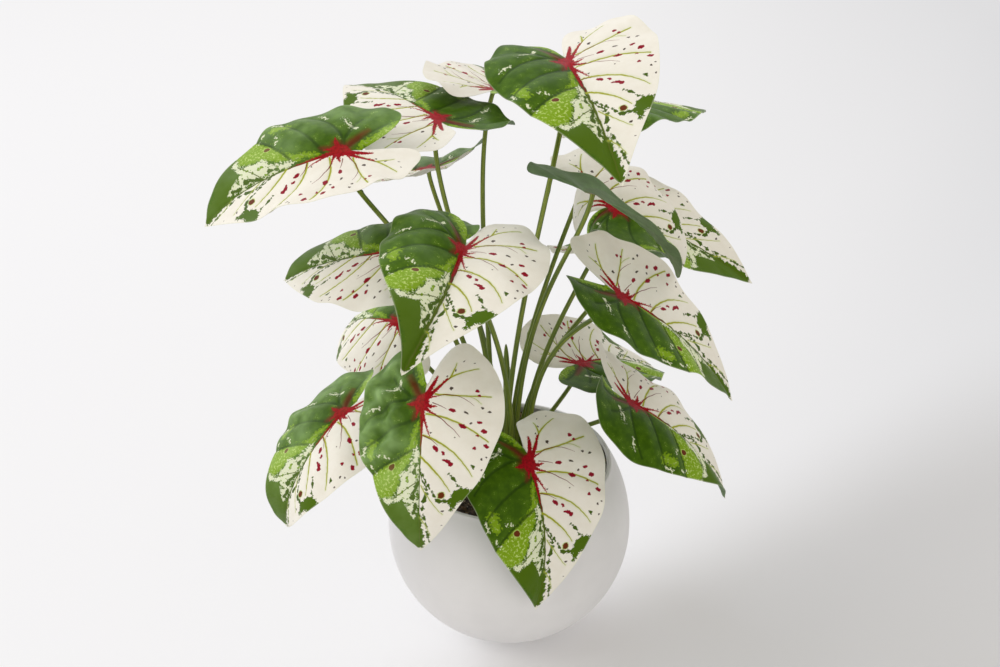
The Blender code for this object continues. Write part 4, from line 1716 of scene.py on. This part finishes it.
@dataclass
class Soil:
    """The soil in the pot: an uneven crust, and stones and crumbs scattered over it."""

    pot: Pot
    level: float = SOIL_TOP
    depth: float = 14 * MM
    rings: int = 90
    spokes: int = 180
    stones: int = 420
    stone_size: Point2 = (3.0 * MM, 7.5 * MM)
    crumbs: int = 900
    crumb_size: Point2 = (1.0 * MM, 2.6 * MM)
    finish: SoilFinish = field(default_factory=SoilFinish)

    @property
    def reach(self) -> float:
        """The pot's inner radius at the soil's level."""
        return float(self.pot.reach(self.level, self.pot.wall))

    def height(self, x: Array, y: Array) -> Array:
        """Height of the crust: a few crossed sines, sinking a little towards the wall.

        Args:
            x: Places along X.
            y: Places along Y.

        Returns:
            The heights.
        """
        waves = np.sin(210 * x + 1.3) * np.cos(190 * y - 0.4) + 0.6 * np.sin(430 * x - 380 * y + 2.0)
        waves += 0.4 * np.cos(900 * x + 700 * y) * np.sin(820 * y - 300 * x)
        sunk = 0.6 * MM + 1.2 * MM * smooth_step(0.062, 0.082, np.hypot(x, y))
        return self.level + 0.7 * MM * waves - sunk

    def crust(self, material: bpy.types.Material) -> bpy.types.Object:
        """The crust as rings of a disc, closed by a wall and a bottom.

        Args:
            material: Its material.

        Returns:
            The crust.
        """
        turn = circle(self.spokes)
        radius = np.linspace(1, 0.004, self.rings)[:, None] * (self.reach - 0.5 * MM)
        x, y = radius * np.cos(turn), radius * np.sin(turn)
        top = np.stack([x, y, self.height(x, y)], axis=-1)
        below = top[:1].copy()
        below[..., 2] = self.level - self.depth
        points, faces = closed_tube(np.concatenate([below, top]))
        crust = add_mesh("soil_crust", points, faces, 80)
        dress(crust, "soil_brown", material)
        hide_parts("potting_soil")
        return crust

    @staticmethod
    def pebble() -> tuple[Array, list[Array]]:
        """A ball of four rings of eight points, with a point at each end.

        Returns:
            The points and the blocks of faces.
        """
        up, turn = np.radians(np.linspace(-62, 62, 4))[:, None], circle(8)
        rings = np.broadcast_arrays(np.cos(up) * np.cos(turn), np.cos(up) * np.sin(turn), np.sin(up))
        ball, faces = closed_tube(np.stack(rings, axis=-1))
        ball[-2:] = [(0, 0, -1), (0, 0, 1)]
        return ball, faces

    def scattered(
        self, name: str, count: int, size: Point2, seed: int, material: bpy.types.Material
    ) -> bpy.types.Object:
        """Stones: stretched and dented balls, tilted, turned and laid on the crust at random.

        Args:
            name: The piece's name.
            count: How many.
            size: Smallest and largest width.
            seed: Seed of the random numbers.
            material: Their material.

        Returns:
            The piece.
        """
        chance = np.random.default_rng(seed)
        ball, faces = self.pebble()
        radius = np.sqrt(chance.uniform(0.0, 1.0, count)) * (self.reach - 3.2 * MM)
        way = chance.uniform(0, 2 * np.pi, count)
        width = size[0] + (size[1] - size[0]) * chance.uniform(0, 1, count) ** 2
        stretch = width[:, None] / 2 * chance.uniform((0.8, 0.6, 0.45), (1.25, 1.0, 0.8), (count, 3))
        dented = ball * (1 + 0.16 * chance.standard_normal((count, len(ball), 1)).clip(-1.5, 1.5))
        spin, tilt = chance.uniform(0, 2 * np.pi, (count, 1)), chance.uniform(-0.6, 0.6, (count, 1))
        x, y, z = np.moveaxis(dented * stretch[:, None, :], -1, 0)
        x, z = x * np.cos(tilt) - z * np.sin(tilt), x * np.sin(tilt) + z * np.cos(tilt)
        x, y = x * np.cos(spin) - y * np.sin(spin), x * np.sin(spin) + y * np.cos(spin)
        middle_x, middle_y = radius * np.cos(way), radius * np.sin(way)
        middle = (middle_x, middle_y, self.height(middle_x, middle_y) + stretch[:, 2] * 0.35)
        points = np.stack([part + at[:, None] for part, at in zip((x, y, z), middle)], axis=-1)
        first = (np.arange(count) * len(ball))[:, None, None]
        blocks = [(block + first).reshape(-1, block.shape[1]) for block in faces]
        piece = add_mesh(name, points.reshape(-1, 3), blocks, 40)
        tones = piece.data.attributes.new("stone_tone", "FLOAT", "POINT")
        tones.data.foreach_set("value", np.repeat(chance.uniform(0, 1, count), len(ball)).astype(np.float32))
        dress(piece, "soil_brown", material)
        return piece

    def build(self) -> list[bpy.types.Object]:
        """The stones, the crumbs and the crust.

        Returns:
            The three pieces.
        """
        mottling = self.finish.mottling()
        grit = self.finish.material("soil_grit", mottling, True)
        stones = self.scattered("soil_stones", self.stones, self.stone_size, 11, grit)
        crumbs = self.scattered("soil_crumbs", self.crumbs, self.crumb_size, 12, grit)
        crust = self.crust(self.finish.material("soil_earth", mottling, False))
        return [stones, crumbs, crust]


@dataclass
class YoungShoot:
    """The young leaf that hasn't opened: a slim rolled spear whose free edge winds up it."""

    finish: StalkFinish
    base: Point2 = (-3 * MM, 2 * MM)
    top: float = 259 * MM
    radius: float = 3.6 * MM
    lean: float = 1.2 * MM
    step: float = 0.17
    turns: float = 1.3
    rings: int = 100
    sides: int = 28

    def build(self) -> bpy.types.Object:
        """Builds the spear from level rings.

        The radius swells at mid height and closes at the tip. It grows smaller round each ring, so
        that a step is left at the free edge, which winds up the spear.

        Returns:
            The spear.
        """
        share = np.linspace(0, 1, self.rings)
        low = SOIL_TOP - 8 * MM
        height = (self.top - low) * share
        girth = self.radius * (0.7 + 0.3 * smooth_step(0.2, 0.5, share))
        girth *= np.sqrt(np.maximum(1 - share**5, 0.002))
        turn = circle(self.sides)
        behind = np.mod(turn - (2 * np.pi * self.turns * share)[:, None], 2 * np.pi) / (2 * np.pi)
        radius = girth[:, None] * (1 - self.step * behind * smooth_step(0.12, 0.3, share)[:, None])
        lean = self.lean * np.sin(share * 3.0)[:, None]
        x = self.base[0] + lean + radius * np.cos(turn)
        y = self.base[1] + radius * np.sin(turn)
        rings = np.stack(np.broadcast_arrays(x, y, (low + height)[:, None]), axis=-1)
        points, faces = closed_tube(rings)
        shoot = add_mesh("young_shoot_spear", points, faces, 40)
        keep_stalk_place(shoot.data, turn, height)
        dress(shoot, "stalk_green", self.finish.material("young_shoot_green"))
        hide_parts("young_shoot")
        return shoot


@dataclass(frozen=True)
class Lamp:
    """A rectangular soft light: where it hangs, its width and height, watts, colour and aim."""

    name: str
    place: Point3
    size: Point2
    power: float
    tint: Colour
    aim: Point3 = (0, 0, 0.25)

    def build(self) -> None:
        """Hangs the lamp in the studio."""
        light = bpy.data.lights.new(self.name, "AREA")
        light.shape = "RECTANGLE"
        light.size, light.size_y = self.size
        light.energy = self.power
        light.color = self.tint
        lamp = bpy.data.objects.new(self.name, light)
        lamp.location = self.place
        way = Vector(self.aim) - Vector(self.place)
        lamp.rotation_euler = way.to_track_quat("-Z", "Y").to_euler()
        bpy.context.scene.collection.objects.link(lamp)


COOL = (0.84, 0.89, 1.0)
LAMPS: tuple[Lamp, ...] = (
    Lamp("key_light", (-1.6, -0.7, 1.9), (0.9, 0.9), 8, (1.0, 0.99, 0.97)),
    Lamp("side_light", (-1.8, 0.9, 1.3), (1.2, 1.2), 12.5, COOL),
    Lamp("back_light", (0.0, 2.0, 1.9), (1.6, 1.2), 8.5, COOL),
    Lamp("fill_light", (0.9, -2.0, 1.5), (1.4, 1.4), 6, (1.0, 0.98, 0.94), (0, 0, 0.2)),
)


@dataclass
class Studio:
    """A pale floor, even light from all round, soft lamps, and the camera.

    floor_level: just under the pot's foot. air_light and air_level: colour and strength of the even
    light. glow: how much of the floor's lit side is drawn as plain glowing backdrop, painted light
    that lifts the shade there. eye: the camera's place.
    """

    floor_colour: Colour = paint(247, 246, 248)
    # Painted shade: the floor darkens to this towards the right.
    floor_painted_shade: Colour = paint(223, 223, 226)
    backdrop: Colour = paint(246, 245, 246)
    # Painted shade: the glowing backdrop darkens to this towards the right.
    backdrop_painted_shade: Colour = paint(222, 222, 224)
    floor_half: float = 6.0
    floor_level: float = -0.4 * MM
    glow: float = 0.8
    air_light: Colour = (1.0, 0.962, 0.885)
    air_level: float = 0.66
    lamps: tuple[Lamp, ...] = LAMPS
    eye: Point3 = (-7.5 * MM, -921 * MM, 809 * MM)
    look_down: float = 30.36
    lens: float = 50.0

    @staticmethod
    def seen(wiring: Wiring) -> Socket:
        """1 on rays that show the background to the camera, straight or in a shiny or clear surface.

        Args:
            wiring: The wiring of the floor's material or of the world.

        Returns:
            The mask.
        """
        rays = wiring.node("ShaderNodeLightPath").outputs
        shiny = wiring.math("MAXIMUM", rays["Is Glossy Ray"], rays["Is Transmission Ray"])
        return wiring.math("MAXIMUM", rays["Is Camera Ray"], shiny)

    def floor_material(self) -> bpy.types.Material:
        """Matt and pale, with painted shade that darkens it to the right, and plain backdrop glowing over
        its lit side and far parts as painted light that lifts the shade there.

        Returns:
            The material.
        """
        material, wiring, shader = new_material("studio_floor")
        place = wiring.place()
        cloud = wiring.noise(place, 1.5)
        # Painted shade: the floor darkens to the right and front.
        side = wiring.sway(cloud, 0.1, wiring.vector("DOT_PRODUCT", place, (0.9, -0.5, 0)))
        colour = wiring.over(wiring.step(side, -0.04, 0.26), self.floor_colour, self.floor_painted_shade)
        wiring.feed(shader.inputs["Base Color"], colour)
        shader.inputs["Roughness"].default_value = 0.75
        shader.inputs["Specular IOR Level"].default_value = 0.2
        # Painted light: rays that see the floor's lit side and far parts get a glowing backdrop, which lifts
        # the shade there; the backdrop carries painted shade to the right.
        right = wiring.vector("DOT_PRODUCT", place, (1, 0, 0))
        backdrop = wiring.over(wiring.span(right, 0.05, 0.9, 0, 1), self.backdrop, self.backdrop_painted_shade)
        glow = wiring.made("ShaderNodeEmission", {"Color": backdrop})
        away = wiring.vector("LENGTH", place)
        lit = wiring.vector("DOT_PRODUCT", place, (-1, 1.3, 0))
        lit = wiring.math("DIVIDE", lit, wiring.math("ADD", away, 0.35))
        shown = wiring.math("MAXIMUM", wiring.step(lit, -0.33, 0.08), wiring.step(away, 0.9, 2.4))
        share = wiring.product(shown, self.glow, self.seen(wiring))
        output = material.node_tree.nodes["Material Output"]
        wiring.feed(output.inputs["Surface"], wiring.mixed(share, shader, glow))
        return material

    def floor(self) -> bpy.types.Object:
        """A wide level sheet.

        Returns:
            The floor.
        """
        steps = np.linspace(-self.floor_half, self.floor_half, 61)
        x, y = np.meshgrid(steps, steps)
        points = np.stack([x, y, np.full_like(x, self.floor_level)], axis=-1).reshape(-1, 3)
        floor = add_mesh("studio_floor", points, [grid_faces(61, 61, closed=False)])
        floor.data.materials.append(self.floor_material())
        return floor

    def air(self) -> None:
        """Even light from all round, which looks pale wherever the background is seen."""
        world = bpy.data.worlds.new("studio_air")
        world.use_nodes = True
        wiring = Wiring(world.node_tree)
        light = world.node_tree.nodes["Background"]
        wiring.feed(light.inputs["Color"], self.air_light)
        light.inputs["Strength"].default_value = self.air_level
        pale = wiring.made("ShaderNodeBackground", {"Color": self.backdrop})
        output = world.node_tree.nodes["World Output"]
        wiring.feed(output.inputs["Surface"], wiring.mixed(self.seen(wiring), light, pale))
        bpy.context.scene.world = world

    def camera(self) -> None:
        """The camera, level from side to side and looking down."""
        data = bpy.data.cameras.new("studio_camera")
        data.lens = self.lens
        camera = bpy.data.objects.new("studio_camera", data)
        camera.location = self.eye
        camera.rotation_euler = (math.radians(90 - self.look_down), 0, 0)
        bpy.context.scene.collection.objects.link(camera)
        bpy.context.scene.camera = camera

    def build(self) -> None:
        """Lays the floor, hangs the lamps, lights the air and sets the camera."""
        self.floor()
        for lamp in self.lamps:
            lamp.build()
        self.air()
        self.camera()
        bpy.context.scene.view_settings.view_transform = "Standard"


def report(*pieces: bpy.types.Object) -> None:
    """Logs each piece's name and number of faces."""
    for piece in pieces:
        LOG.info("%s: %d faces", piece.name, len(piece.data.polygons))


def main() -> None:
    """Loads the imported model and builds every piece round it."""
    logging.basicConfig(level=logging.INFO, format="%(message)s")
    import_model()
    Studio().build()
    pot = Pot()
    report(pot.build())
    report(*Soil(pot).build())
    streaks = long_streaks()
    report(YoungShoot(StalkFinish(streaks, SHOOT_LIGHT, SHOOT_DARK)).build())
    leaf_print = LeafPrint()
    leaf_materials = LeafFinish(leaf_print).materials()
    stalk_material = StalkFinish(streaks).material("stalk_green")
    for pose in POSES:
        blade = Blade(pose, leaf_print)
        report(blade.build(leaf_materials), Stalk(blade).build(stalk_material))
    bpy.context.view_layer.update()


if __name__ == "__main__":
    main()
